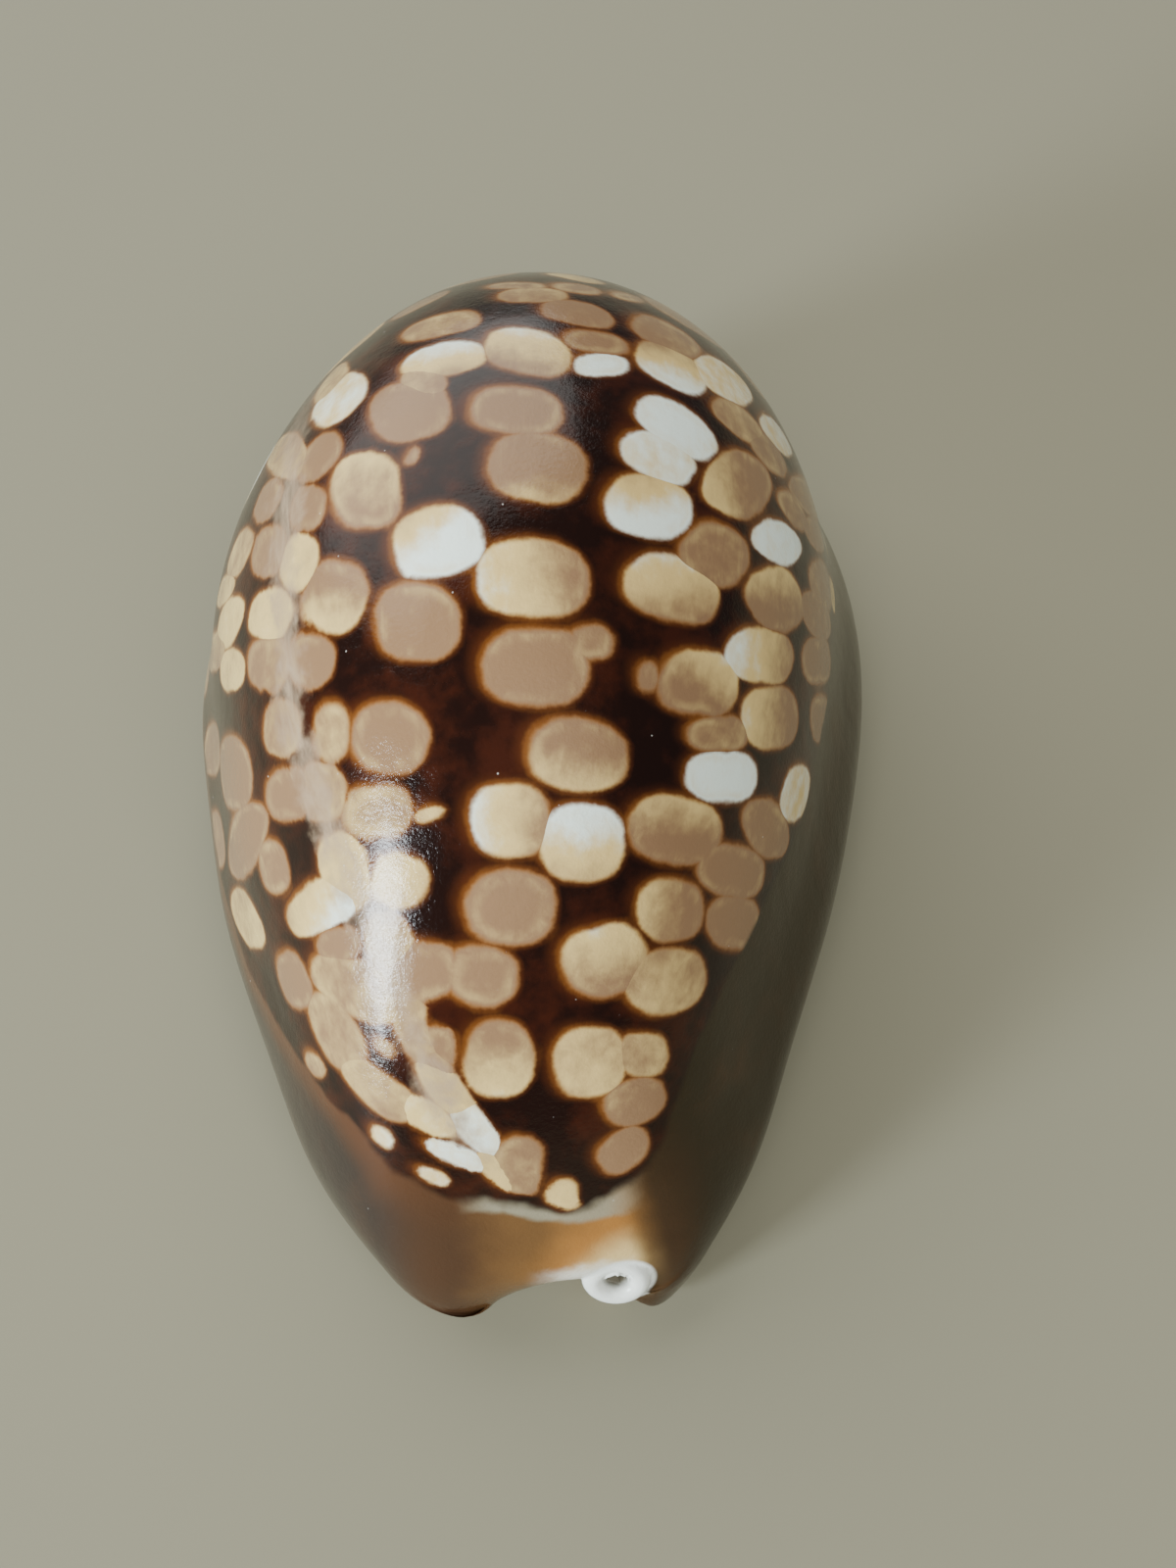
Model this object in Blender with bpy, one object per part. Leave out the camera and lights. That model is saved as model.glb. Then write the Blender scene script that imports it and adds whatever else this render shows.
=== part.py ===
"""A humpback cowrie shell, lying on its base with the narrow front end towards -Y.

The shell is one grown piece: a thick plate rolled round on itself. Its outer face and its
inner face are lofted from cross sections along the length, and they meet in a rounded edge
all the way round: along the two toothed lips of the slit in the base, and round the canal
at each end. The inside is hollow, with the rolled inner whorls as a swelling in its floor.
"""

import math

import bmesh
import bpy
import numpy as np
from mathutils import Matrix

MM = 0.001

# Driving dimensions
LENGTH = 90 * MM
WALL_TOP = 3.0 * MM
WALL_SIDE = 4.0 * MM
BASE_THICKNESS = 7.0 * MM
SLIT_HALF_WIDTH = 2.5 * MM
TEETH = 23
TOOTH_DEPTH = 0.8 * MM

# Stations along the length, from -1 at the front end to 1 at the back end, and what the
# shell measures at each: half width at the margin, on both sides, and height of the back.
STATIONS = (-1.0, -0.85, -0.65, -0.40, -0.10, 0.20, 0.45, 0.70, 0.88, 1.0)
LEFT_HALF_MM = (12.0, 17.5, 22.0, 26.5, 29.5, 31.0, 28.5, 23.5, 17.5, 11.5)
RIGHT_HALF_MM = (11.5, 15.5, 19.0, 23.0, 26.5, 28.5, 28.0, 24.5, 18.5, 12.5)
BACK_HEIGHT_MM = (12.5, 22.0, 31.5, 39.5, 44.5, 45.5, 43.5, 38.0, 29.0, 17.0)
MARGIN_HEIGHT_MM = (4.5, 5.5, 6.5, 7.0, 7.5, 7.5, 7.5, 7.0, 6.5, 5.5)

# How the cross section is rounded
DOME_POWER = 2.1
CREST_OFFSET = -1.0 * MM
MARGIN_FLARE = {-1: 2.0 * MM, 1: 3.0 * MM}
FLARE_HEIGHT = 7.0 * MM
MARGIN_ROUND = 7.0 * MM
LIP_RADIUS = 3.0 * MM
EDGE_RADIUS = 1.5 * MM
CORNER_RADIUS = 5.0 * MM
BASE_THINNING = 2.5 * MM
INNER_WHORL_HEIGHT = 13 * MM

# The slit and its teeth
SLIT_BOW = -2.5 * MM
SLIT_HOOK = 3.5 * MM
SLIT_FRONT = 0.4 * MM
TEETH_SPAN = 68 * MM
TEETH_MIDDLE = -2 * MM
TOOTH_REACH = 3.0 * MM

# The canals at both ends
FRONT_SETBACK = -1.2 * MM
FRONT_SKEW = 0.12
ROOF_REACH = 1.3 * MM
ROOF_WIDTH = 5.0 * MM
LOBE_REACH = 0.07
BACK_SETBACK = 1.0 * MM
SADDLE_DEPTH = 3.0 * MM
SADDLE_WIDTH = 7.0 * MM
CANAL_MARGIN = 2.2 * MM
RIM_REACH = 3.5 * MM
RIM_FULLNESS = 0.9
RIM_HANDLE = 5.0 * MM

# The curl of the inner lip beside the front canal: a ring with a pit, facing forwards and up
CURL_X = 4.9 * MM
CURL_FROM_FRONT = 2.5 * MM
CURL_Z = 6.2 * MM
CURL_RADIUS = 1.8 * MM
CURL_THICKNESS = 1.75 * MM
CURL_TILT = math.radians(26)
PIT_RADIUS = 1.0 * MM
PIT_DEPTH = 3.0 * MM

# How many faces
ROWS = 34
FINE = 3
ROWS_TO_ENDS = 0.35
RIM_ROWS = 3
TRAVEL_STEP = 0.02
DOME_STEPS = 12
MARGIN_STEPS = 4
LIP_STEPS = 4
WALL_STEPS = 4
CORNER_STEPS = 2
FLOOR_STEPS = 3
EDGE_STEPS = 2
TOOTHED_COLUMNS = LIP_STEPS + WALL_STEPS + 1
CURL_STEPS = 20
CURL_SIDES = 10


def spline(places, values, at):
    """A natural cubic spline through the given values, read at one place or several."""
    places = np.asarray(places, float)
    values = np.asarray(values, float)
    gaps = np.diff(places)
    slopes = np.diff(values) / gaps
    count = len(places)
    system = np.eye(count)
    right = np.zeros(count)
    for i in range(1, count - 1):
        system[i, i - 1 : i + 2] = gaps[i - 1], 2 * (gaps[i - 1] + gaps[i]), gaps[i]
        right[i] = 6 * (slopes[i] - slopes[i - 1])
    bends = np.linalg.solve(system, right)
    i = np.clip(np.searchsorted(places, at) - 1, 0, count - 2)
    before = at - places[i]
    after = places[i + 1] - at
    gap = gaps[i]
    return (
        (bends[i] * after**3 + bends[i + 1] * before**3) / (6 * gap)
        + (values[i] / gap - bends[i] * gap / 6) * after
        + (values[i + 1] / gap - bends[i + 1] * gap / 6) * before
    )


def ramp(value, start, end):
    """0 before start, 1 after end, and smooth between them."""
    t = np.clip((value - start) / (end - start), 0, 1)
    return t * t * (3 - 2 * t)


def rounded(value, power):
    """A sine or cosine bent so that the curve it draws is a superellipse."""
    return np.sign(value) * np.abs(value) ** (2 / power)


def teeth_at(y):
    """1 on the ridge of a tooth and 0 in the gap between two, along the toothed stretch."""
    pitch = TEETH_SPAN / TEETH
    wave = 0.5 + 0.5 * np.cos(2 * math.pi * y / pitch)
    inside = 1 - ramp(abs(y - TEETH_MIDDLE), TEETH_SPAN / 2 - pitch, TEETH_SPAN / 2)
    return 1 - inside * (1 - ramp(wave, 0.15, 0.75))


def slit_middle(q):
    """Where the slit runs across the base: bowed to the outer lip, and hooked at the back."""
    bow = SLIT_BOW * (1 - q * q)
    return bow + SLIT_HOOK * ramp(q, 0.35, 1.0) + SLIT_FRONT * ramp(-q, 0.35, 1.0)


def end_share(q):
    """0 along the hollow body and 1 at the mouth of each canal."""
    return ramp(abs(q), 0.55, 1.0)


def quarter(steps, skip_first=True):
    """Angles from 0 to 90 degrees."""
    angles = np.linspace(0, math.pi / 2, steps + 1)
    return angles[1:] if skip_first else angles


def lean(q, x, z, height):
    """How far a point is moved along the shell, because neither end is cut off square.

    At the back the canal's roof ends short of its sides. At the front a lobe stands forward on
    each side, and the roof between them ends shorter towards the right.
    """
    up = ramp(z / height, 0.0, 0.85)
    to_front = ramp(-q, 0.4, 1.0)
    roof = ROOF_REACH * np.exp(-((x / ROOF_WIDTH) ** 2))
    front = (FRONT_SETBACK + FRONT_SKEW * x - roof) * to_front
    back = BACK_SETBACK * ramp(q, 0.5, 1.0)
    return up * (front - back) - LOBE_REACH * to_front * abs(x)


def saddle(q, x):
    """How far the back dips over the front canal."""
    return SADDLE_DEPTH * ramp(-q, 0.45, 1.0) * np.exp(-((x / SADDLE_WIDTH) ** 2))


def outer_side(q, side, y):
    """The outside of one half of a section, from the crest down to the edge of the slit."""
    half = spline(STATIONS, LEFT_HALF_MM if side < 0 else RIGHT_HALF_MM, q) * MM
    height = spline(STATIONS, BACK_HEIGHT_MM, q) * MM
    margin = spline(STATIONS, MARGIN_HEIGHT_MM, q) * MM
    flare = MARGIN_FLARE[side] * (1 - 0.6 * ramp(abs(q), 0.8, 1.0))
    crest = CREST_OFFSET * (1 - q * q)
    slit = side * slit_middle(q) + SLIT_HALF_WIDTH
    edge_height = floor_height(q) - EDGE_RADIUS

    turn = quarter(DOME_STEPS, skip_first=False)
    x = side * crest + (half - flare - side * crest) * rounded(np.sin(turn), DOME_POWER)
    z = margin + (height - margin) * rounded(np.cos(turn), DOME_POWER)
    x = x + flare * np.exp(-(((z - margin) / FLARE_HEIGHT) ** 2))
    z = z - saddle(q, x)

    root = slit + LIP_RADIUS + TOOTH_REACH
    round_in = min(MARGIN_ROUND, 0.75 * (half - root))
    turn = quarter(MARGIN_STEPS)
    x = np.append(x, half - round_in * (1 - np.cos(turn)))
    z = np.append(z, margin * (1 - np.sin(turn)))

    gap = TOOTH_DEPTH * (1 - teeth_at(y))
    x = np.append(x, [root, slit + LIP_RADIUS])
    z = np.append(z, [0, gap])
    turn = quarter(LIP_STEPS)
    x = np.append(x, slit + LIP_RADIUS - (LIP_RADIUS - gap) * np.sin(turn))
    z = np.append(z, LIP_RADIUS - (LIP_RADIUS - gap) * np.cos(turn))
    up = np.linspace(0, 1, WALL_STEPS + 1)[1:]
    x = np.append(x, slit + gap * (1 - up))
    z = np.append(z, LIP_RADIUS + (edge_height - LIP_RADIUS) * up)
    return points(q, side * x, y, z, height)


def floor_height(q):
    """Height of the hollow's floor above the table: the thickness of the base."""
    return BASE_THICKNESS - BASE_THINNING * end_share(q)


def inner_side(q, side, y):
    """The hollow of one half of a section, from its roof down to the edge of the slit."""
    half = spline(STATIONS, LEFT_HALF_MM if side < 0 else RIGHT_HALF_MM, q) * MM
    height = spline(STATIONS, BACK_HEIGHT_MM, q) * MM
    slit = side * slit_middle(q) + SLIT_HALF_WIDTH
    end = end_share(q)
    crest = side * (CREST_OFFSET * (1 - end) + slit_middle(q) * end)
    wide = half - MARGIN_FLARE[side] - WALL_SIDE
    foot = wide + (slit + CANAL_MARGIN - wide) * end
    floor = floor_height(q)
    corner = min(CORNER_RADIUS, 0.4 * (foot - slit - EDGE_RADIUS))
    roof = height - WALL_TOP

    turn = quarter(DOME_STEPS // 2, skip_first=False)
    x = crest + (foot - crest) * rounded(np.sin(turn), DOME_POWER)
    z = floor + corner + (roof - floor - corner) * rounded(np.cos(turn), DOME_POWER)
    z = np.maximum(z - saddle(q, x), floor + corner * np.cos(turn))

    turn = quarter(CORNER_STEPS)
    x = np.append(x, foot - corner * (1 - np.cos(turn)))
    z = np.append(z, floor + corner * (1 - np.sin(turn)))

    along = np.linspace(0, 1, FLOOR_STEPS + 1)[1:]
    start, stop = foot - corner, slit + EDGE_RADIUS
    x = np.append(x, start + (stop - start) * along)
    swell = INNER_WHORL_HEIGHT * (1 - ramp(abs(q), 0.25, 0.75)) if side > 0 else 0
    z = np.append(z, floor + swell * np.sin(math.pi * along) ** 2)

    turn = quarter(EDGE_STEPS)
    x = np.append(x, slit + EDGE_RADIUS * (1 - np.sin(turn)))
    z = np.append(z, floor - EDGE_RADIUS * (1 - np.cos(turn)))
    return points(q, side * x, y, z, height)


def points(q, x, y, z, height):
    """Rows of x, y, z for one half of a section."""
    return np.column_stack([x, y + lean(q, x, z, height), z])


def section(q):
    """One closed ring of points round the rolled plate, starting at the left edge of the slit."""
    y = q * (LENGTH / 2 - RIM_REACH)
    left, right = outer_side(q, -1, y), outer_side(q, 1, y)
    inner_left, inner_right = inner_side(q, -1, y), inner_side(q, 1, y)
    outside = np.vstack([left[::-1], right[1:]])
    inside = np.vstack([inner_right[-2:0:-1], inner_left[:-1]])
    return np.vstack([outside, inside])


OUTER = 2 * (DOME_STEPS + MARGIN_STEPS + 2 + LIP_STEPS + WALL_STEPS)
RING = OUTER + OUTER // 2


def ring_of_inner(j):
    """Which point of the ring is the j-th of the inside, counted from the left slit edge."""
    return {0: 0, OUTER // 2: OUTER}.get(j, RING - j)


def is_fine(column):
    """The lips and their teeth have FINE rows for each row of the rest."""
    from_edge = min(column, OUTER - column) if column <= OUTER else min(column - OUTER, RING - column)
    return from_edge <= (TOOTHED_COLUMNS if column <= OUTER else EDGE_STEPS)


def add_faces(mesh, first, second, steps_first, steps_second):
    """Faces between two neighbouring columns, whose rows may differ in number."""
    cell = max(steps_first, steps_second)
    last = FINE * ROWS
    for low in range(0, last, cell):
        corners = [first[k] for k in range(low, low + cell + 1, steps_first)]
        corners += [second[k] for k in range(low + cell, low - 1, -steps_second)]
        add_face(mesh, corners)


def add_face(mesh, corners):
    """A face with the repeated corners left out."""
    kept = [c for i, c in enumerate(corners) if c is not corners[i - 1]]
    if len(kept) > 2:
        mesh.faces.new(kept)


def rim(mesh, ring, places, before, outwards):
    """Closes one end of the rolled plate with a rounded edge between its outside and inside.

    The edge carries on smoothly from both faces, whose travel is taken from the section before.
    """
    inner = [ring_of_inner(j) for j in range(OUTER // 2 + 1)]
    travel = places - before
    travel /= np.linalg.norm(travel, axis=1)[:, None]
    curves = []
    for i in range(OUTER + 1):
        facing = [inner[i // 2], inner[(i + 1) // 2]]
        stop, stop_travel = places[facing].mean(axis=0), travel[facing].mean(axis=0)
        handle = min(RIM_FULLNESS * np.linalg.norm(places[i] - stop) * 2 / 3, RIM_HANDLE)
        curves.append((places[i], places[i] + travel[i] * handle, stop + stop_travel * handle, stop))
    rows = [dict(enumerate(ring))]
    for step in range(1, RIM_ROWS + 1):
        share = 0.5 * step / RIM_ROWS
        made = {0: ring[0], OUTER: ring[OUTER]}
        for i in range(1, OUTER):
            made[i] = mesh.verts.new(along_curve(curves[i], share))
            if i % 2 == 0:
                last = step == RIM_ROWS
                made[inner[i // 2]] = made[i] if last else mesh.verts.new(along_curve(curves[i], 1 - share))
        rows.append(made)
    turned = outwards > 0
    for below, above in zip(rows, rows[1:]):
        for i in range(OUTER):
            corners = [below[i], below[i + 1], above[i + 1], above[i]]
            add_face(mesh, corners if turned else corners[::-1])
        for j in range(OUTER // 2):
            a, b = inner[j], inner[j + 1]
            corners = [below[b], below[a], above[a]]
            if above is rows[-1]:
                corners.append(above[2 * j + 1])
            corners.append(above[b])
            add_face(mesh, corners if turned else corners[::-1])


def along_curve(curve, share):
    """A point of a cubic Bezier curve, kept above the table."""
    rest = 1 - share
    weights = (rest**3, 3 * rest**2 * share, 3 * rest * share**2, share**3)
    place = sum(weight * point for weight, point in zip(weights, curve))
    return place[0], place[1], max(place[2], 0)


def rolled_plate():
    """The whole shell as one closed mesh."""
    mesh = bmesh.new()
    columns = [{} for _ in range(RING)]
    ends = {}
    for k in range(FINE * ROWS + 1):
        q = station(k / (FINE * ROWS))
        places = section(q)
        for column in range(RING):
            if is_fine(column) or k % FINE == 0:
                columns[column][k] = mesh.verts.new(places[column])
        if k in (0, FINE * ROWS):
            ends[k] = places
    for column in range(RING):
        following = (column + 1) % RING
        steps = [1 if is_fine(c) else FINE for c in (following, column)]
        add_faces(mesh, columns[following], columns[column], *steps)
    for k, outwards in ((0, -1), (FINE * ROWS, 1)):
        before = section(outwards * (1 - TRAVEL_STEP))
        rim(mesh, [column[k] for column in columns], ends[k], before, outwards)
    return mesh


def station(share):
    """Where a row lies, from -1 to 1: the rows are closer together near both ends."""
    even = 2 * share - 1
    return (1 - ROWS_TO_ENDS) * even + ROWS_TO_ENDS * math.sin(math.pi / 2 * even)


def curl(front):
    """The rounded ring of the curl, and where it stands: its centre and its turn."""
    ring = bmesh.new()
    bmesh.ops.create_circle(ring, segments=CURL_SIDES, radius=CURL_THICKNESS / 2)
    bmesh.ops.translate(ring, verts=ring.verts, vec=(CURL_RADIUS, 0, 0))
    bmesh.ops.spin(
        ring, geom=ring.verts[:] + ring.edges[:], cent=(0, 0, 0), axis=(0, 1, 0),
        angle=2 * math.pi, steps=CURL_STEPS,
    )
    bmesh.ops.remove_doubles(ring, verts=ring.verts, dist=0.01 * MM)
    bmesh.ops.recalc_face_normals(ring, faces=ring.faces)
    bmesh.ops.transform(ring, matrix=curl_place(front), verts=ring.verts)
    return ring


def curl_place(front):
    """The ring's axis is its own Y, tilted so that its front looks up a little."""
    centre = Matrix.Translation((CURL_X, front + CURL_FROM_FRONT, CURL_Z))
    return centre @ Matrix.Rotation(-CURL_TILT, 4, "X")


def pit(front):
    """The tapered hole in the middle of the curl."""
    hole = bmesh.new()
    bmesh.ops.create_cone(
        hole, cap_ends=True, segments=CURL_SIDES, radius1=PIT_RADIUS, radius2=PIT_RADIUS / 2,
        depth=2 * PIT_DEPTH,
    )
    upright = Matrix.Rotation(math.radians(-90), 4, "X")
    bmesh.ops.transform(hole, matrix=curl_place(front) @ upright, verts=hole.verts)
    return hole


def shell_material():
    """Polished brown porcelain-like shell."""
    material = bpy.data.materials.new("polished_shell")
    material.use_nodes = True
    surface = material.node_tree.nodes["Principled BSDF"]
    surface.inputs["Base Color"].default_value = (0.12, 0.055, 0.03, 1)
    surface.inputs["Roughness"].default_value = 0.15
    surface.inputs["Metallic"].default_value = 0
    return material


def add_object(name, mesh):
    """An object made from a finished mesh."""
    data = bpy.data.meshes.new(name)
    mesh.to_mesh(data)
    mesh.free()
    data.shade_smooth()
    made = bpy.data.objects.new(name, data)
    bpy.context.scene.collection.objects.link(made)
    return made


def combine(target, tool, operation):
    """A Boolean with a shape that is not itself part of the model."""
    tool.hide_render = True
    tool.display_type = "WIRE"
    cut = target.modifiers.new(tool.name, "BOOLEAN")
    cut.operation = operation
    cut.solver = "MANIFOLD"
    cut.object = tool


def main():
    for old in list(bpy.data.objects):
        bpy.data.objects.remove(old)
    plate = rolled_plate()
    corners = np.array([vertex.co for vertex in plate.verts])
    low, high = corners.min(axis=0), corners.max(axis=0)
    shell = add_object("shell", plate)
    shell.data.materials.append(shell_material())
    ring = add_object("curl_ring", curl(low[1]))
    hole = add_object("curl_pit", pit(low[1]))
    combine(shell, hole, "DIFFERENCE")
    combine(shell, ring, "UNION")
    for piece in (shell, ring, hole):
        piece.location = (-(low[0] + high[0]) / 2, -(low[1] + high[1]) / 2, -low[2])


main()
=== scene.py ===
"""The looks of a polished humpback cowrie shell, lying on its base."""

import math

import bmesh
import bpy
import numpy as np
from mathutils import Matrix, Vector
from mathutils.bvhtree import BVHTree


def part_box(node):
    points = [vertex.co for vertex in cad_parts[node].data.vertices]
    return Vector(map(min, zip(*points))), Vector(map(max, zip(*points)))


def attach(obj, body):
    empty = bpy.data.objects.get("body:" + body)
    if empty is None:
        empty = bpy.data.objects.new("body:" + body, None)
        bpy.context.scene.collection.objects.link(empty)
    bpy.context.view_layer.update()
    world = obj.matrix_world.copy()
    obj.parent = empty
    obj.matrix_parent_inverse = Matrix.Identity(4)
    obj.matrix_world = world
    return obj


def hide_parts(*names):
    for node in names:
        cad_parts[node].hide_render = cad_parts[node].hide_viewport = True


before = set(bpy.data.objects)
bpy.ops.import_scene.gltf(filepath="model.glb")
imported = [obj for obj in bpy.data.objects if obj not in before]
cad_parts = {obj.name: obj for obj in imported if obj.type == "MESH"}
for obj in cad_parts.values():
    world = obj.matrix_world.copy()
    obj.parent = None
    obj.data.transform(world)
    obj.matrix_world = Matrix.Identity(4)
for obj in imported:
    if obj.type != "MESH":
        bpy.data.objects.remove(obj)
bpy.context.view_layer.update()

MM = 0.001

# The view
# The shell is seen from above its narrow end, from close by, so that its near parts look large.
PHOTO_WIDTH = 1200
PHOTO_HEIGHT = 1600
FOCAL_PX = 1600
VIEW_ELEVATION = math.radians(60)
VIEW_ROLL = math.radians(-1.04)
VIEW_DISTANCE = 123.8 * MM
VIEW_TARGET = Vector((4.65, -8.05, 20)) * MM
SENSOR = 36
NEAREST_SEEN = 5 * MM

view_back = Vector((0, -math.cos(VIEW_ELEVATION), math.sin(VIEW_ELEVATION)))
level_right = Vector((1, 0, 0))
level_up = level_right.cross(-view_back)
view_right = level_right * math.cos(VIEW_ROLL) + level_up * math.sin(VIEW_ROLL)
view_up = level_up * math.cos(VIEW_ROLL) - level_right * math.sin(VIEW_ROLL)
view_from = VIEW_TARGET + view_back * VIEW_DISTANCE

camera_data = bpy.data.cameras.new("camera")
camera_data.sensor_width = SENSOR
camera_data.lens = SENSOR * FOCAL_PX / PHOTO_HEIGHT
camera_data.clip_start = NEAREST_SEEN
camera = bpy.data.objects.new("camera", camera_data)
camera_turn = Matrix((view_right, view_up, view_back)).transposed().to_4x4()
camera.matrix_world = Matrix.Translation(view_from) @ camera_turn
bpy.context.scene.collection.objects.link(camera)
bpy.context.scene.camera = camera


def ray_of_pixel(x, y):
    """The direction in which a pixel of the 1200 by 1600 photograph looks."""
    across = (x - PHOTO_WIDTH / 2) / FOCAL_PX
    down = (y - PHOTO_HEIGHT / 2) / FOCAL_PX
    return (view_right * across - view_up * down - view_back).normalized()


# The floor and the light
# A plain pale floor. A small window low on the left gives the shell its one clear reflection, a
# soft light in front of it fills the shadows, and a broad one behind it stands for the sky.
FLOOR_SIZE = 3.0
FLOOR_COLOUR = (0.278, 0.26, 0.18, 1)
FLOOR_ROUGHNESS = 0.75
WORLD_COLOUR = (0.86, 0.93, 1, 1)
WORLD_STRENGTH = 0.135
LIGHT_AIM = Vector((0, 0, 0.02))
WINDOW_LIGHT = (0.84, 0.94, 1.0)
ROOM_LIGHT = (0.98, 1.0, 0.98)
SKY_LIGHT = (0.99, 1.0, 0.96)


class Maths:
    """A number in a material's nodes: an expression on it adds Math nodes."""

    def __init__(self, tree, socket):
        self.tree = tree
        self.socket = socket

    def apply(self, operation, *others):
        node = self.tree.nodes.new("ShaderNodeMath")
        node.operation = operation
        for place, value in zip(node.inputs, (self, *others)):
            if isinstance(value, Maths):
                self.tree.links.new(value.socket, place)
            else:
                place.default_value = value
        return Maths(self.tree, node.outputs[0])

    def of(self, value):
        """A plain number as a node, for when it stands on the left of an expression."""
        node = self.tree.nodes.new("ShaderNodeValue")
        node.outputs[0].default_value = value
        return Maths(self.tree, node.outputs[0])

    def __add__(self, other):
        return self.apply("ADD", other)

    __radd__ = __add__

    def __mul__(self, other):
        return self.apply("MULTIPLY", other)

    __rmul__ = __mul__

    def __sub__(self, other):
        return self.apply("SUBTRACT", other)

    def __rsub__(self, other):
        return self.of(other).apply("SUBTRACT", self)

    def __truediv__(self, other):
        return self.apply("DIVIDE", other)

    def __neg__(self):
        return self * -1

    def smaller(self, other):
        return self.apply("MINIMUM", other)

    def larger(self, other):
        return self.apply("MAXIMUM", other)

    def ramp(self, start, end):
        """0 before start, 1 after end, and smooth between them."""
        node = self.tree.nodes.new("ShaderNodeMapRange")
        node.interpolation_type = "SMOOTHSTEP"
        self.tree.links.new(self.socket, node.inputs["Value"])
        node.inputs["From Min"].default_value = start
        node.inputs["From Max"].default_value = end
        return Maths(self.tree, node.outputs["Result"])

    def fall(self, start, end):
        """1 before start, 0 after end, and smooth between them."""
        return 1 - self.ramp(start, end)


class Material:
    """A node material: its Principled shader, and one method for every other node."""

    def __init__(self, name):
        self.data = bpy.data.materials.new(name)
        self.data.use_nodes = True
        self.tree = self.data.node_tree
        self.shader = self.tree.nodes["Principled BSDF"]

    def node(self, kind, settings=None, **inputs):
        """Adds a node, sets it up, and feeds its inputs with values or links."""
        made = self.tree.nodes.new("ShaderNode" + kind)
        for name, value in (settings or {}).items():
            setattr(made, name, value)
        for name, value in inputs.items():
            self.feed(made.inputs[name.replace("_", " ")], value)
        return made

    def feed(self, place, value):
        if isinstance(value, Maths):
            self.tree.links.new(value.socket, place)
        elif isinstance(value, bpy.types.NodeSocket):
            self.tree.links.new(value, place)
        else:
            place.default_value = value

    def number(self, socket):
        return Maths(self.tree, socket)

    def attribute(self, name):
        return self.number(self.node("Attribute", {"attribute_name": name}).outputs["Fac"])

    def mix(self, share, first, second):
        """A colour between two colours."""
        blend = self.node("Mix", {"data_type": "RGBA"})
        self.feed(blend.inputs[0], share)
        self.feed(blend.inputs[6], first)
        self.feed(blend.inputs[7], second)
        return blend.outputs[2]

    def noise(self, place, scale, detail=2.0, roughness=0.5, distortion=0.0):
        made = self.node(
            "TexNoise", Vector=place, Scale=scale, Detail=detail, Roughness=roughness,
            Distortion=distortion,
        )
        return self.number(made.outputs["Fac"])


floor_mesh = bpy.data.meshes.new("floor")
sketch = bmesh.new()
bmesh.ops.create_grid(sketch, x_segments=1, y_segments=1, size=FLOOR_SIZE / 2)
sketch.to_mesh(floor_mesh)
sketch.free()
floor = bpy.data.objects.new("floor", floor_mesh)
bpy.context.scene.collection.objects.link(floor)
paper = Material("pale_floor")
paper.shader.inputs["Base Color"].default_value = FLOOR_COLOUR
paper.shader.inputs["Roughness"].default_value = FLOOR_ROUGHNESS
floor.data.materials.append(paper.data)


def soft_light(name, place, size, power, colour, seen_in_glaze=True):
    """A rectangular light that looks at the shell, in metres and watts."""
    data = bpy.data.lights.new(name, "AREA")
    data.shape = "RECTANGLE"
    data.size, data.size_y = size
    data.energy = power
    data.color = colour
    light = bpy.data.objects.new(name, data)
    light.location = place
    light.rotation_mode = "QUATERNION"
    light.rotation_quaternion = (LIGHT_AIM - light.location).to_track_quat("-Z", "Y")
    light.visible_glossy = seen_in_glaze
    bpy.context.scene.collection.objects.link(light)


soft_light("window", place=(-0.66, -0.42, 0.20), size=(0.17, 0.30), power=10.0, colour=WINDOW_LIGHT)
soft_light(
    "room", place=(0.10, -0.65, 0.90), size=(1.1, 0.8), power=11.0, colour=ROOM_LIGHT,
    seen_in_glaze=False,
)
soft_light("sky", place=(-0.55, 0.85, 0.85), size=(2.0, 1.4), power=20.5, colour=SKY_LIGHT)

world = bpy.data.worlds.new("studio")
world.use_nodes = True
world.node_tree.nodes["Background"].inputs["Color"].default_value = WORLD_COLOUR
world.node_tree.nodes["Background"].inputs["Strength"].default_value = WORLD_STRENGTH
bpy.context.scene.world = world

# The shell
# One grown piece of hard, porcelain-like lime: a thick plate rolled round on itself, so that
# its two toothed lips face each other along the base. The animal's mantle laid down the glaze
# and its colours: pale spots in a dark brown network above, and plain brown margins.
LENGTH = 90 * MM
WALL_TOP = 3.0 * MM
WALL_SIDE = 4.0 * MM
BASE_THICKNESS = 7.0 * MM
SLIT_HALF_WIDTH = 2.5 * MM
STATIONS = (-1.0, -0.85, -0.65, -0.40, -0.10, 0.20, 0.45, 0.70, 0.88, 1.0)
LEFT_HALF_MM = (12.0, 17.5, 22.0, 26.5, 29.5, 31.0, 28.5, 23.5, 17.5, 11.5)
RIGHT_HALF_MM = (11.5, 15.5, 19.0, 23.0, 26.5, 28.5, 28.0, 24.5, 18.5, 12.5)
BACK_HEIGHT_MM = (12.5, 22.0, 31.5, 39.5, 44.5, 45.5, 43.5, 38.0, 29.0, 17.0)
MARGIN_HEIGHT_MM = (4.5, 5.5, 6.5, 7.0, 7.5, 7.5, 7.5, 7.0, 6.5, 5.5)
DOME_POWER = 2.1
CREST_OFFSET = -1.0 * MM
MARGIN_FLARE = {-1: 2.0 * MM, 1: 3.0 * MM}
FLARE_HEIGHT = 7.0 * MM
FLARE_LOSS = 0.6
FLARE_LOSS_SPAN = (0.8, 1.0)
MARGIN_ROUND = 7.0 * MM
MARGIN_ROUND_SHARE = 0.75
LIP_RADIUS = 3.0 * MM
EDGE_RADIUS = 1.5 * MM
CORNER_RADIUS = 5.0 * MM
CORNER_SHARE = 0.4
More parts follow.
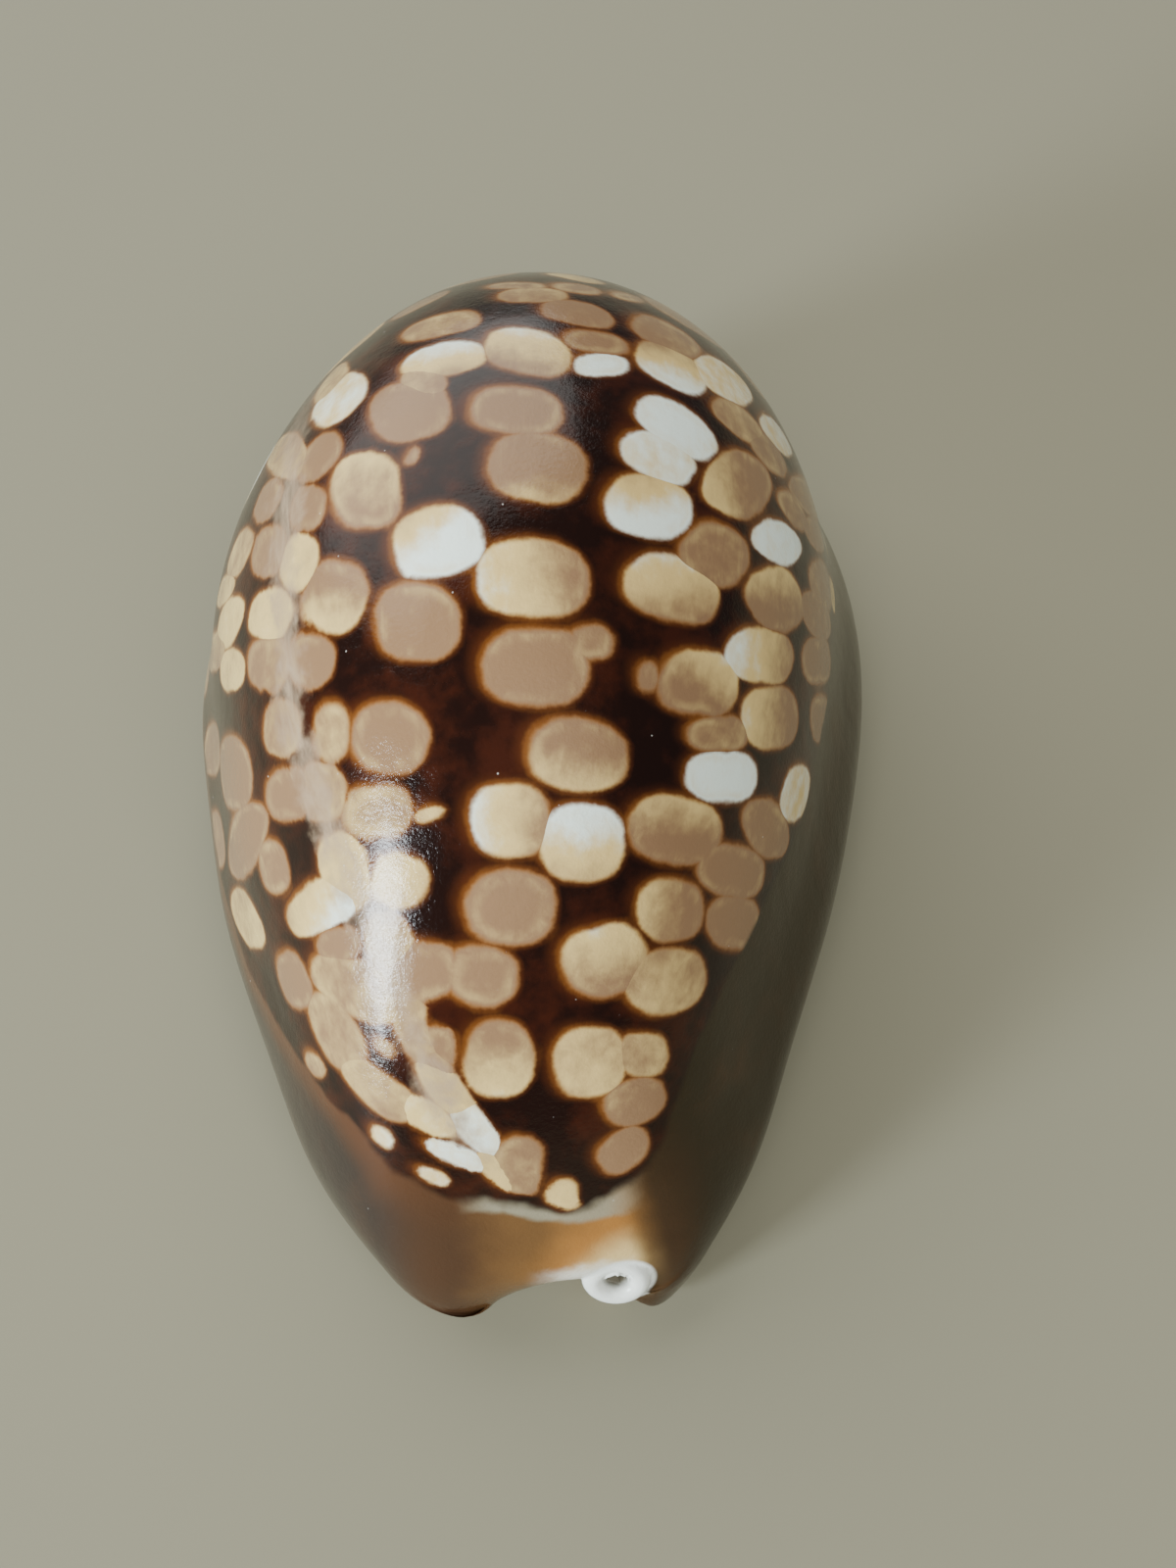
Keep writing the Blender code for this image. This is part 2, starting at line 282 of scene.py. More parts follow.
CANAL_SPAN = (0.55, 1.0)
BASE_THINNING = 2.5 * MM
INNER_WHORL_HEIGHT = 13 * MM
INNER_WHORL_SPAN = (0.25, 0.75)
SLIT_BOW = -2.5 * MM
SLIT_HOOK = 3.5 * MM
SLIT_FRONT = 0.4 * MM
SLIT_HOOK_SPAN = (0.35, 1.0)
TEETH = 23
TOOTH_DEPTH = 0.8 * MM
TEETH_SPAN = 68 * MM
TEETH_MIDDLE = -2 * MM
TOOTH_REACH = 3.0 * MM
TOOTH_REACH_SHARE = 0.6
TOOTH_GAP_SHAPE = (0.15, 0.75)
FRONT_SETBACK = -1.2 * MM
FRONT_SKEW = 0.12
FRONT_SPAN = (0.4, 1.0)
LEAN_TOP = 0.85
ROOF_REACH = 1.3 * MM
ROOF_WIDTH = 5.0 * MM
LOBE_REACH = 0.07
BACK_SETBACK = 1.0 * MM
BACK_SPAN = (0.5, 1.0)
SADDLE_DEPTH = 3.0 * MM
SADDLE_WIDTH = 7.0 * MM
SADDLE_SPAN = (0.45, 1.0)
CANAL_MARGIN = 2.2 * MM
RIM_REACH = 3.5 * MM
RIM_FULLNESS = 0.9
RIM_HANDLE = 5.0 * MM

ROWS = 236
ROWS_TO_ENDS = 0.35
RIM_ROWS = 8
TRAVEL_STEP = 0.02
DOME_STEPS = 84
MARGIN_STEPS = 10
BASE_STEPS = 10
LIP_STEPS = 8
WALL_STEPS = 6
CORNER_STEPS = 6
FLOOR_STEPS = 7
EDGE_STEPS = 4


def spline(places, values, at):
    """A natural cubic spline through the given values."""
    places = np.asarray(places, float)
    values = np.asarray(values, float)
    gaps = np.diff(places)
    slopes = np.diff(values) / gaps
    count = len(places)
    system = np.eye(count)
    right = np.zeros(count)
    for i in range(1, count - 1):
        system[i, i - 1 : i + 2] = gaps[i - 1], 2 * (gaps[i - 1] + gaps[i]), gaps[i]
        right[i] = 6 * (slopes[i] - slopes[i - 1])
    bends = np.linalg.solve(system, right)
    i = np.clip(np.searchsorted(places, at) - 1, 0, count - 2)
    before = at - places[i]
    after = places[i + 1] - at
    gap = gaps[i]
    return (
        (bends[i] * after**3 + bends[i + 1] * before**3) / (6 * gap)
        + (values[i] / gap - bends[i] * gap / 6) * after
        + (values[i + 1] / gap - bends[i + 1] * gap / 6) * before
    )


def ramp(value, start, end):
    """0 before start, 1 after end, and smooth between them."""
    t = np.clip((value - start) / (end - start), 0, 1)
    return t * t * (3 - 2 * t)


def rounded(value, power):
    """A sine or cosine bent so that the curve it draws is a superellipse."""
    return np.sign(value) * np.abs(value) ** (2 / power)


def slit_middle(q):
    """Where the slit runs across the base: bowed to the outer lip, and hooked at the back."""
    bow = SLIT_BOW * (1 - q * q)
    return bow + SLIT_HOOK * ramp(q, *SLIT_HOOK_SPAN) + SLIT_FRONT * ramp(-q, *SLIT_HOOK_SPAN)


def end_share(q):
    """0 along the hollow body and 1 at the mouth of each canal."""
    return ramp(abs(q), *CANAL_SPAN)


def quarter(steps, skip_first=True):
    """Angles from 0 to 90 degrees."""
    angles = np.linspace(0, math.pi / 2, steps + 1)
    return angles[1:] if skip_first else angles


def points(q, x, y, z, height):
    """One half of a section, leaned back at the ends: the canal's roof ends short of its sides."""
    up = ramp(z / height, 0.0, LEAN_TOP)
    to_front = ramp(-q, *FRONT_SPAN)
    roof = ROOF_REACH * np.exp(-((x / ROOF_WIDTH) ** 2))
    front = (FRONT_SETBACK + FRONT_SKEW * x - roof) * to_front
    back = BACK_SETBACK * ramp(q, *BACK_SPAN)
    return np.column_stack([x, y + up * (front - back) + LOBE_REACH * to_front * -abs(x), z])


def saddle(q, x):
    """How far the back dips over the front canal."""
    return SADDLE_DEPTH * ramp(-q, *SADDLE_SPAN) * np.exp(-((x / SADDLE_WIDTH) ** 2))


def floor_height(q):
    """Height of the hollow's floor: the thickness of the base."""
    return BASE_THICKNESS - BASE_THINNING * end_share(q)


def outer_side(q, side, y):
    """The outside of one half of a section, from the crest down to the edge of the slit."""
    half = spline(STATIONS, LEFT_HALF_MM if side < 0 else RIGHT_HALF_MM, q) * MM
    height = spline(STATIONS, BACK_HEIGHT_MM, q) * MM
    margin = spline(STATIONS, MARGIN_HEIGHT_MM, q) * MM
    flare = MARGIN_FLARE[side] * (1 - FLARE_LOSS * ramp(abs(q), *FLARE_LOSS_SPAN))
    crest = CREST_OFFSET * (1 - q * q)
    slit = side * slit_middle(q) + SLIT_HALF_WIDTH

    turn = quarter(DOME_STEPS, skip_first=False)
    x = side * crest + (half - flare - side * crest) * rounded(np.sin(turn), DOME_POWER)
    z = margin + (height - margin) * rounded(np.cos(turn), DOME_POWER)
    x = x + flare * np.exp(-(((z - margin) / FLARE_HEIGHT) ** 2))
    z = z - saddle(q, x)

    root = slit + LIP_RADIUS + TOOTH_REACH
    round_in = min(MARGIN_ROUND, MARGIN_ROUND_SHARE * (half - root))
    turn = quarter(MARGIN_STEPS)
    x = np.append(x, half - round_in * (1 - np.cos(turn)))
    z = np.append(z, margin * (1 - np.sin(turn)))

    along = np.linspace(half - round_in, slit + LIP_RADIUS, BASE_STEPS + 1)[1:]
    x = np.append(x, along)
    z = np.append(z, 0 * along)
    turn = quarter(LIP_STEPS)
    x = np.append(x, slit + LIP_RADIUS * (1 - np.sin(turn)))
    z = np.append(z, LIP_RADIUS * (1 - np.cos(turn)))
    up = np.linspace(0, 1, WALL_STEPS + 1)[1:]
    x = np.append(x, slit + 0 * up)
    z = np.append(z, LIP_RADIUS + (floor_height(q) - EDGE_RADIUS - LIP_RADIUS) * up)
    return points(q, side * x, y, z, height)


def inner_side(q, side, y):
    """The hollow of one half of a section, from its roof down to the edge of the slit."""
    half = spline(STATIONS, LEFT_HALF_MM if side < 0 else RIGHT_HALF_MM, q) * MM
    height = spline(STATIONS, BACK_HEIGHT_MM, q) * MM
    slit = side * slit_middle(q) + SLIT_HALF_WIDTH
    end = end_share(q)
    crest = side * (CREST_OFFSET * (1 - end) + slit_middle(q) * end)
    wide = half - MARGIN_FLARE[side] - WALL_SIDE
    foot = wide + (slit + CANAL_MARGIN - wide) * end
    floor = floor_height(q)
    corner = min(CORNER_RADIUS, CORNER_SHARE * (foot - slit - EDGE_RADIUS))
    roof = height - WALL_TOP

    turn = quarter(DOME_STEPS // 2, skip_first=False)
    x = crest + (foot - crest) * rounded(np.sin(turn), DOME_POWER)
    z = floor + corner + (roof - floor - corner) * rounded(np.cos(turn), DOME_POWER)
    z = np.maximum(z - saddle(q, x), floor + corner * np.cos(turn))

    turn = quarter(CORNER_STEPS)
    x = np.append(x, foot - corner * (1 - np.cos(turn)))
    z = np.append(z, floor + corner * (1 - np.sin(turn)))

    along = np.linspace(0, 1, FLOOR_STEPS + 1)[1:]
    start, stop = foot - corner, slit + EDGE_RADIUS
    x = np.append(x, start + (stop - start) * along)
    swell = INNER_WHORL_HEIGHT * (1 - ramp(abs(q), *INNER_WHORL_SPAN)) if side > 0 else 0
    z = np.append(z, floor + swell * np.sin(math.pi * along) ** 2)

    turn = quarter(EDGE_STEPS)
    x = np.append(x, slit + EDGE_RADIUS * (1 - np.sin(turn)))
    z = np.append(z, floor - EDGE_RADIUS * (1 - np.cos(turn)))
    return points(q, side * x, y, z, height)


def section(q):
    """One closed ring round the rolled plate, starting at the left edge of the slit."""
    y = q * (LENGTH / 2 - RIM_REACH)
    left, right = outer_side(q, -1, y), outer_side(q, 1, y)
    inner_left, inner_right = inner_side(q, -1, y), inner_side(q, 1, y)
    outside = np.vstack([left[::-1], right[1:]])
    inside = np.vstack([inner_right[-2:0:-1], inner_left[:-1]])
    return np.vstack([outside, inside])


OUTER = 2 * (DOME_STEPS + MARGIN_STEPS + BASE_STEPS + LIP_STEPS + WALL_STEPS)
RING = OUTER + OUTER // 2


def ring_of_inner(j):
    """Which point of the ring is the j-th of the inside, counted from the left slit edge."""
    return {0: 0, OUTER // 2: OUTER}.get(j, RING - j)


def add_face(mesh, corners):
    """A face with the repeated corners left out."""
    kept = [c for i, c in enumerate(corners) if c is not corners[i - 1]]
    if len(kept) > 2:
        mesh.faces.new(kept)


def along_curve(curve, share):
    """A point of a cubic Bezier curve, kept above the table."""
    rest = 1 - share
    weights = (rest**3, 3 * rest**2 * share, 3 * rest * share**2, share**3)
    place = sum(weight * point for weight, point in zip(weights, curve))
    return place[0], place[1], max(place[2], 0)


def rim(mesh, ring, places, before, outwards):
    """Closes one end with a rounded edge that carries on smoothly from both faces."""
    inner = [ring_of_inner(j) for j in range(OUTER // 2 + 1)]
    travel = places - before
    travel /= np.linalg.norm(travel, axis=1)[:, None]
    curves = []
    for i in range(OUTER + 1):
        facing = [inner[i // 2], inner[(i + 1) // 2]]
        stop, stop_travel = places[facing].mean(axis=0), travel[facing].mean(axis=0)
        handle = min(RIM_FULLNESS * np.linalg.norm(places[i] - stop) * 2 / 3, RIM_HANDLE)
        curves.append(
            (places[i], places[i] + travel[i] * handle, stop + stop_travel * handle, stop)
        )
    rows = [dict(enumerate(ring))]
    for step in range(1, RIM_ROWS + 1):
        share = 0.5 * step / RIM_ROWS
        made = {0: ring[0], OUTER: ring[OUTER]}
        for i in range(1, OUTER):
            made[i] = mesh.verts.new(along_curve(curves[i], share))
            if i % 2 == 0:
                partner = made[i]
                if step < RIM_ROWS:
                    partner = mesh.verts.new(along_curve(curves[i], 1 - share))
                made[inner[i // 2]] = partner
        rows.append(made)
    for below, above in zip(rows, rows[1:]):
        for i in range(OUTER):
            corners = [below[i], below[i + 1], above[i + 1], above[i]]
            add_face(mesh, corners if outwards > 0 else corners[::-1])
        for j in range(OUTER // 2):
            a, b = inner[j], inner[j + 1]
            corners = [below[b], below[a], above[a]]
            if above is rows[-1]:
                corners.append(above[2 * j + 1])
            corners.append(above[b])
            add_face(mesh, corners if outwards > 0 else corners[::-1])


plate = bmesh.new()
rows_of_verts = []
for k in range(ROWS + 1):
    even = 2 * k / ROWS - 1
    q = (1 - ROWS_TO_ENDS) * even + ROWS_TO_ENDS * math.sin(math.pi / 2 * even)
    ring_places = section(q)
    rows_of_verts.append([plate.verts.new(place) for place in ring_places])
    if k == 0:
        front_places = ring_places
for low_row, high_row in zip(rows_of_verts, rows_of_verts[1:]):
    for column in range(RING):
        after = (column + 1) % RING
        plate.faces.new([low_row[after], low_row[column], high_row[column], high_row[after]][::-1])
rim(plate, rows_of_verts[0], front_places, section(TRAVEL_STEP - 1), -1)
rim(plate, rows_of_verts[-1], ring_places, section(1 - TRAVEL_STEP), 1)
bmesh.ops.recalc_face_normals(plate, faces=plate.faces)
plate_low = Vector([min(vertex.co[axis] for vertex in plate.verts) for axis in range(3)])
plate_high = Vector([max(vertex.co[axis] for vertex in plate.verts) for axis in range(3)])

# The curl of the inner lip beside the front canal: a ring with a pit, facing forwards and up
CURL_X = 4.9 * MM
CURL_FROM_FRONT = 2.5 * MM
CURL_Z = 6.2 * MM
CURL_RADIUS = 1.8 * MM
CURL_THICKNESS = 1.75 * MM
CURL_TILT = math.radians(26)
PIT_RADIUS = 1.0 * MM
PIT_DEPTH = 3.0 * MM
CURL_STEPS = 64
CURL_SIDES = 28
SAME_POINT = 0.001 * MM

curl_place = Matrix.Translation((CURL_X, plate_low.y + CURL_FROM_FRONT, CURL_Z))
curl_place = curl_place @ Matrix.Rotation(-CURL_TILT, 4, "X")
ring = bmesh.new()
bmesh.ops.create_circle(ring, segments=CURL_SIDES, radius=CURL_THICKNESS / 2)
bmesh.ops.translate(ring, verts=ring.verts, vec=(CURL_RADIUS, 0, 0))
bmesh.ops.spin(
    ring, geom=ring.verts[:] + ring.edges[:], cent=(0, 0, 0), axis=(0, 1, 0),
    angle=2 * math.pi, steps=CURL_STEPS,
)
bmesh.ops.remove_doubles(ring, verts=ring.verts, dist=SAME_POINT)
bmesh.ops.recalc_face_normals(ring, faces=ring.faces)
bmesh.ops.transform(ring, matrix=curl_place, verts=ring.verts)
pit = bmesh.new()
bmesh.ops.create_cone(
    pit, cap_ends=True, segments=CURL_STEPS, radius1=PIT_RADIUS, radius2=PIT_RADIUS / 2,
    depth=2 * PIT_DEPTH,
)
upright = Matrix.Rotation(math.radians(-90), 4, "X")
bmesh.ops.transform(pit, matrix=curl_place @ upright, verts=pit.verts)


def add_object(name, mesh):
    """An object made from a finished mesh."""
    data = bpy.data.meshes.new(name)
    mesh.to_mesh(data)
    mesh.free()
    data.shade_smooth()
    made = bpy.data.objects.new(name, data)
    bpy.context.scene.collection.objects.link(made)
    return made


def as_plain_mesh(piece):
    """Applies what the piece's modifiers make of it, and takes them off."""
    piece_as_made = piece.evaluated_get(bpy.context.evaluated_depsgraph_get())
    finished = bpy.data.meshes.new_from_object(piece_as_made)
    piece.modifiers.clear()
    piece.data = finished


def relax(data, share, rounds):
    """Evens a mesh out where share is above 0, and keeps it above the table.

    Each round pulls the points together and lets them out again, so that nothing shrinks.
    """
    places = vertex_places(data)
    ends = np.empty(2 * len(data.edges), int)
    data.edges.foreach_get("vertices", ends)
    first, second = ends[::2], ends[1::2]
    neighbours = np.bincount(ends, minlength=len(places))
    for step in range(2 * rounds):
        pull = 0.5 if step % 2 == 0 else -0.5
        for axis in range(3):
            total = np.bincount(first, places[second, axis], len(places))
            total += np.bincount(second, places[first, axis], len(places))
            places[:, axis] += pull * share * (total / neighbours - places[:, axis])
        places[:, 2] = np.maximum(places[:, 2], 0)
    data.vertices.foreach_set("co", places.ravel())
    data.update()


def vertex_places(data):
    """The places of a mesh's points, one row each."""
    places = np.empty(3 * len(data.vertices))
    data.vertices.foreach_get("co", places)
    return places.reshape(-1, 3)


def toothed_share():
    """How much each point takes part in the teeth: all on the lips, and less and less off them."""
    share = np.zeros(RING)
    off_lip = 1 - ramp(np.arange(BASE_STEPS + 1) / BASE_STEPS, 0, TOOTH_REACH_SHARE)
    one_side = np.concatenate([np.linspace(0, 1, WALL_STEPS + 1), np.ones(LIP_STEPS), off_lip[1:]])
    share[: len(one_side)] = one_side
    share[OUTER - len(one_side) + 1 : OUTER + 1] = one_side[::-1]
    return share


def teeth_tree():
    """Geometry Nodes that press the gaps between the teeth into the lips."""
    tree = bpy.data.node_groups.new("teeth", "GeometryNodeTree")
    tree.is_modifier = True
    sockets = (
        ("Geometry", "INPUT", "NodeSocketGeometry"), ("Teeth", "INPUT", "NodeSocketFloat"),
        ("Tooth Depth", "INPUT", "NodeSocketFloat"), ("Span", "INPUT", "NodeSocketFloat"),
        ("Middle", "INPUT", "NodeSocketFloat"), ("Glaze", "INPUT", "NodeSocketMaterial"),
        ("Geometry", "OUTPUT", "NodeSocketGeometry"),
    )
    for name, way, kind in sockets:
        tree.interface.new_socket(name, in_out=way, socket_type=kind)
    given = tree.nodes.new("NodeGroupInput").outputs

    def number(socket):
        return Maths(tree, socket)

    where = tree.nodes.new("ShaderNodeSeparateXYZ")
    tree.links.new(tree.nodes.new("GeometryNodeInputPosition").outputs[0], where.inputs[0])
    along = number(where.outputs["Y"])
    pitch = number(given["Span"]) / number(given["Teeth"])
    wave = (along / pitch * 2 * math.pi).apply("COSINE") * 0.5 + 0.5
    from_middle = (along - number(given["Middle"])).apply("ABSOLUTE")
    to_end = (number(given["Span"]) * 0.5 - from_middle) / pitch
    gap = wave.fall(*TOOTH_GAP_SHAPE) * to_end.ramp(0, 1)
    lip = tree.nodes.new("GeometryNodeInputNamedAttribute")
    lip.inputs["Name"].default_value = "lip"
    depth = -(gap * number(lip.outputs["Attribute"]) * number(given["Tooth Depth"]))
    push = tree.nodes.new("ShaderNodeVectorMath")
    push.operation = "SCALE"
    tree.links.new(tree.nodes.new("GeometryNodeInputNormal").outputs[0], push.inputs[0])
    tree.links.new(depth.socket, push.inputs["Scale"])
    pressed = tree.nodes.new("GeometryNodeSetPosition")
    tree.links.new(given["Geometry"], pressed.inputs["Geometry"])
    tree.links.new(push.outputs[0], pressed.inputs["Offset"])
    real = tree.nodes.new("GeometryNodeRealizeInstances")
    tree.links.new(pressed.outputs[0], real.inputs[0])
    finished = tree.nodes.new("GeometryNodeSetMaterial")
    tree.links.new(real.outputs[0], finished.inputs["Geometry"])
    tree.links.new(given["Glaze"], finished.inputs["Material"])
    tree.links.new(finished.outputs[0], tree.nodes.new("NodeGroupOutput").inputs[0])
    return tree


END_SMOOTHED = (3 * MM, 8 * MM)
END_ROUNDS = 120
JOIN_SMOOTHED = (0.3 * MM, 1.0 * MM)
JOIN_ROUNDS = 60

glaze = Material("polished_shell")
shell = add_object("cowrie_shell", plate)
lip = np.zeros(len(shell.data.vertices))
lip[: (ROWS + 1) * RING] = np.tile(toothed_share(), ROWS + 1)
shell.data.attributes.new("lip", "FLOAT", "POINT").data.foreach_set("value", lip)
hollow = np.zeros(len(shell.data.vertices))
hollow[: (ROWS + 1) * RING] = np.tile(np.arange(RING) > OUTER, ROWS + 1)
shell.data.attributes.new("hollow", "FLOAT", "POINT").data.foreach_set("value", hollow)
teeth = shell.modifiers.new("teeth", "NODES")
teeth.node_group = teeth_tree()
for name, value in (
    ("Teeth", TEETH), ("Tooth Depth", TOOTH_DEPTH), ("Span", TEETH_SPAN), ("Middle", TEETH_MIDDLE),
    ("Glaze", glaze.data),
):
    teeth[teeth.node_group.interface.items_tree[name].identifier] = value
as_plain_mesh(shell)
along = vertex_places(shell.data)[:, 1]
to_end = np.minimum(along - plate_low.y, plate_high.y - along)
relax(shell.data, 1 - ramp(to_end, *END_SMOOTHED), END_ROUNDS)
for tool, operation in (
    (add_object("pit", pit), "DIFFERENCE"), (add_object("ring", ring), "UNION")
):
    cut = shell.modifiers.new(tool.name, "BOOLEAN")
    cut.operation = operation
    cut.solver = "MANIFOLD"
    cut.object = tool
as_plain_mesh(shell)
for name in ("pit", "ring"):
    bpy.data.objects.remove(bpy.data.objects[name])

curl_axis = np.array(curl_place.to_3x3() @ Vector((0, 1, 0)))
from_curl = vertex_places(shell.data) - np.array(curl_place.translation)
ahead = from_curl @ curl_axis
aside = np.linalg.norm(from_curl - ahead[:, None] * curl_axis, axis=1)
from_ring = np.hypot(aside - CURL_RADIUS, ahead) - CURL_THICKNESS / 2
relax(shell.data, 1 - ramp(from_ring, *JOIN_SMOOTHED), JOIN_ROUNDS)

# The fine mesh is set exactly into the solid's box
node_low, node_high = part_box("shell")
scale = [(node_high[k] - node_low[k]) / (plate_high[k] - plate_low[k]) for k in range(3)]
fit = Matrix.Translation(Vector(node_low)) @ Matrix.Diagonal((*scale, 1))
fit = fit @ Matrix.Translation(-plate_low)
shell.data.transform(fit)
shell.data.shade_smooth()

# The marks, spot by spot, as the photograph shows them. For each: the middle, half its width
# and half its height in the photograph's pixels, its clockwise turn in degrees, its brightness
# from 0 for tan to 1 for nearly white, and for some the side where it is brightest.
SPOTS_BACK_LEFT = (
    (449, 331, 42, 11, -15, 0.3), (450, 366, 45, 17, -12, 0.7, "t"), (417, 417, 42, 31, -10, 0.0),
    (430, 390, 24, 20, 0, 0.3), (422, 465, 7, 12, 30, 0.0), (371, 500, 38, 40, 0, 0.3, "t"),
    (345, 406, 35, 17, -45, 0.8), (326, 465, 29, 16, -50, 0.1), (316, 518, 17, 23, 15, 0.1),
    (272, 510, 10, 23, 25, 0.0), (338, 390, 26, 8, -52, 0.4), (306, 572, 17, 27, 15, 0.6),
    (271, 563, 15, 25, 15, 0.2), (243, 565, 9, 27, 20, 0.4), (341, 608, 31, 39, 15, 0.3, "b"),
    (272, 628, 20, 26, 20, 0.6), (425, 633, 45, 42, 0, 0.1), (445, 553, 48, 38, -15, 1.0, "rb"),
    (318, 673, 22, 27, 0, 0.1), (270, 677, 20, 27, 0, 0.2), (232, 636, 11, 30, 15, 0.6),
    (228, 603, 7, 18, 20, 0.5), (235, 684, 13, 22, 0, 0.6), (288, 463, 18, 22, 30, 0.3),
    (262, 470, 7, 20, 35, 0.2), (218, 665, 6, 22, 5, 0.3),
)
SPOTS_BACK_RIGHT = (
    (544, 300, 37, 8, 0, 0.3), (528, 291, 32, 4, 0, 0.2), (590, 319, 38, 12, 12, 0.2),
    (588, 294, 28, 5, 8, 0.2), (640, 303, 18, 4, 15, 0.2), (682, 342, 41, 13, 27, 0.15),
    (539, 357, 46, 24, 12, 0.5, "t"), (609, 349, 36, 12, 10, 0.1), (615, 372, 30, 13, 3, 1.0),
    (687, 374, 42, 19, 30, 0.7, "b"), (740, 387, 37, 15, 38, 0.8), (692, 435, 47, 22, 33, 1.0),
    (673, 466, 42, 23, 28, 0.9), (665, 516, 47, 32, 12, 0.9, "b"), (756, 430, 35, 13, 42, 0.3),
    (785, 462, 30, 11, 55, 0.2), (757, 494, 35, 34, 35, 0.3, "l"), (794, 444, 27, 8, 55, 0.8),
    (810, 520, 25, 10, 60, 0.2), (796, 553, 27, 20, 40, 1.0), (732, 565, 37, 32, 35, 0.2),
    (689, 601, 51, 34, 20, 0.5, "t"), (795, 612, 27, 35, -25, 0.3, "t"),
    (840, 598, 10, 28, -10, 0.2), (836, 628, 13, 27, -15, 0.2), (836, 675, 14, 26, 0, 0.0),
    (780, 669, 35, 29, 15, 0.6, "l"), (544, 590, 60, 41, 5, 0.5, "l"), (548, 680, 57, 42, 0, 0.05),
    (604, 657, 25, 20, 0, 0.05), (527, 418, 50, 26, 5, 0.05), (549, 475, 51, 37, 8, 0.1, "b"),
    (826, 508, 26, 8, 65, 0.2), (833, 545, 20, 7, 70, 0.2), (734, 350, 40, 7, 42, 0.2),
)
SPOTS_FRONT_RIGHT = (
    (716, 697, 42, 36, 10, 0.3, "rt"), (662, 690, 12, 16, 0, 0.1), (735, 749, 33, 20, 0, 0.2),
    (740, 793, 37, 28, 0, 1.0), (790, 732, 29, 33, 0, 0.4, "l"), (813, 809, 14, 31, 12, 0.8),
    (785, 846, 22, 32, -15, 0.2), (694, 848, 49, 36, 8, 0.25, "t"), (751, 890, 35, 28, 15, 0.1),
    (752, 942, 27, 29, 0, 0.1), (687, 928, 35, 33, 0, 0.3, "l"), (618, 981, 45, 38, -15, 0.4, "t"),
    (682, 1003, 43, 34, -15, 0.4), (590, 770, 53, 38, 8, 0.25, "b"),
    (520, 837, 42, 39, 0, 0.6, "l"), (596, 860, 44, 41, 0, 0.8, "t"), (521, 927, 47, 40, 0, 0.0),
    (510, 1080, 36, 40, 0, 0.4, "b"), (603, 1085, 38, 37, 0, 0.5), (658, 1077, 27, 24, 0, 0.4),
    (648, 1124, 34, 24, -20, 0.2), (637, 1174, 29, 20, -35, 0.1), (530, 1188, 25, 29, 0, 0.2),
    (576, 1217, 14, 14, 0, 0.6), (838, 733, 10, 26, 0, 0.0),
)
SPOTS_FRONT_LEFT = (
    (340, 746, 18, 31, 0, 0.3), (396, 753, 42, 38, 0, 0.0), (385, 828, 35, 29, 0, 0.3),
    (438, 831, 17, 8, -15, 0.5), (290, 812, 22, 27, 0, 0.1), (330, 808, 22, 26, 0, 0.3),
    (236, 790, 15, 40, -5, 0.1), (247, 859, 17, 40, 8, 0.1), (278, 885, 15, 31, -12, 0.2),
    (322, 927, 38, 25, -35, 0.7, "r"), (407, 897, 29, 27, 20, 0.6), (299, 1001, 15, 33, -20, 0.1),
    (252, 938, 12, 34, -22, 0.5), (342, 966, 22, 19, 0, 0.1), (434, 992, 36, 31, 0, 0.1),
    (492, 997, 39, 33, 8, 0.1), (449, 1068, 17, 21, 0, 0.1), (217, 765, 8, 28, 0, 0.2),
    (221, 857, 7, 30, -5, 0.2), (285, 745, 18, 26, 0, 0.3), (350, 890, 24, 36, -10, 0.6),
    (321, 1086, 8, 16, -32, 0.3), (398, 962, 22, 26, -20, 0.4),
)
# Where the two folds of the mantle met at the front, the marks run into long slanting streaks
STREAKS_FRONT_LEFT = (
    (358, 1008, 54, 27, 30, 0.3), (340, 1052, 46, 22, 62, 0.3), (381, 1110, 50, 18, 40, 0.4),
    (430, 1138, 35, 13, 32, 0.7), (429, 1064, 44, 14, 52, 0.25), (391, 1068, 12, 7, 40, 0.3),
    (456, 1112, 40, 13, 48, 0.6), (486, 1151, 33, 14, 52, 0.9), (464, 1179, 34, 9, 22, 0.9),
    (408, 1022, 32, 16, 45, 0.25), (508, 1196, 26, 9, 45, 0.5), (443, 1201, 19, 7, 24, 0.8),
    (391, 1161, 15, 8, 42, 0.8),
)
SPOT_POWER = 2.4
SPOT_FAR = 5 * MM
SPOT_LONGEST = 6.5 * MM
SPOT_GROUPS = 6
SPOT_CROWDED = 2.5 * MM
SPOT_CORE = 0.05
BRIGHTER_SIDE = 0.35
BRIGHTER_LIMIT = 0.6
TOWARDS = {"t": (0, -1), "b": (0, 1), "l": (-1, 0), "r": (1, 0)}

shell_tree = BVHTree.FromObject(shell, bpy.context.evaluated_depsgraph_get())
places = vertex_places(shell.data)
normals = np.array([vertex.normal for vertex in shell.data.vertices])


class Spot:
    """An oval mark: its middle, two half axes along the surface, its brightness and its group."""

    def __init__(self, middle, normal, longer, shorter, tone, brighter):
        self.middle = np.array(middle)
        self.normal = np.array(normal)
        self.axes = np.array([longer, shorter])
        self.size = np.linalg.norm(self.axes, axis=1).mean()
        self.tone = tone
        self.brighter = np.array(brighter)
        self.group = 0

    def measure(self, at, growth=0.0, shift=0.0):
        """Distance from the spot's edge, inside it below 0, and its own coordinates there."""
        offset = at - self.middle - shift
        own = offset @ np.linalg.pinv(self.axes)
        out = (np.abs(own) ** SPOT_POWER).sum(axis=1) ** (1 / SPOT_POWER)
        flat = np.linalg.norm(own @ self.axes, axis=1)
        from_edge = flat * (1 - 1 / np.maximum(out, SPOT_CORE))
        edge = np.where(out > SPOT_CORE, from_edge, -self.size)
        return edge - growth, own


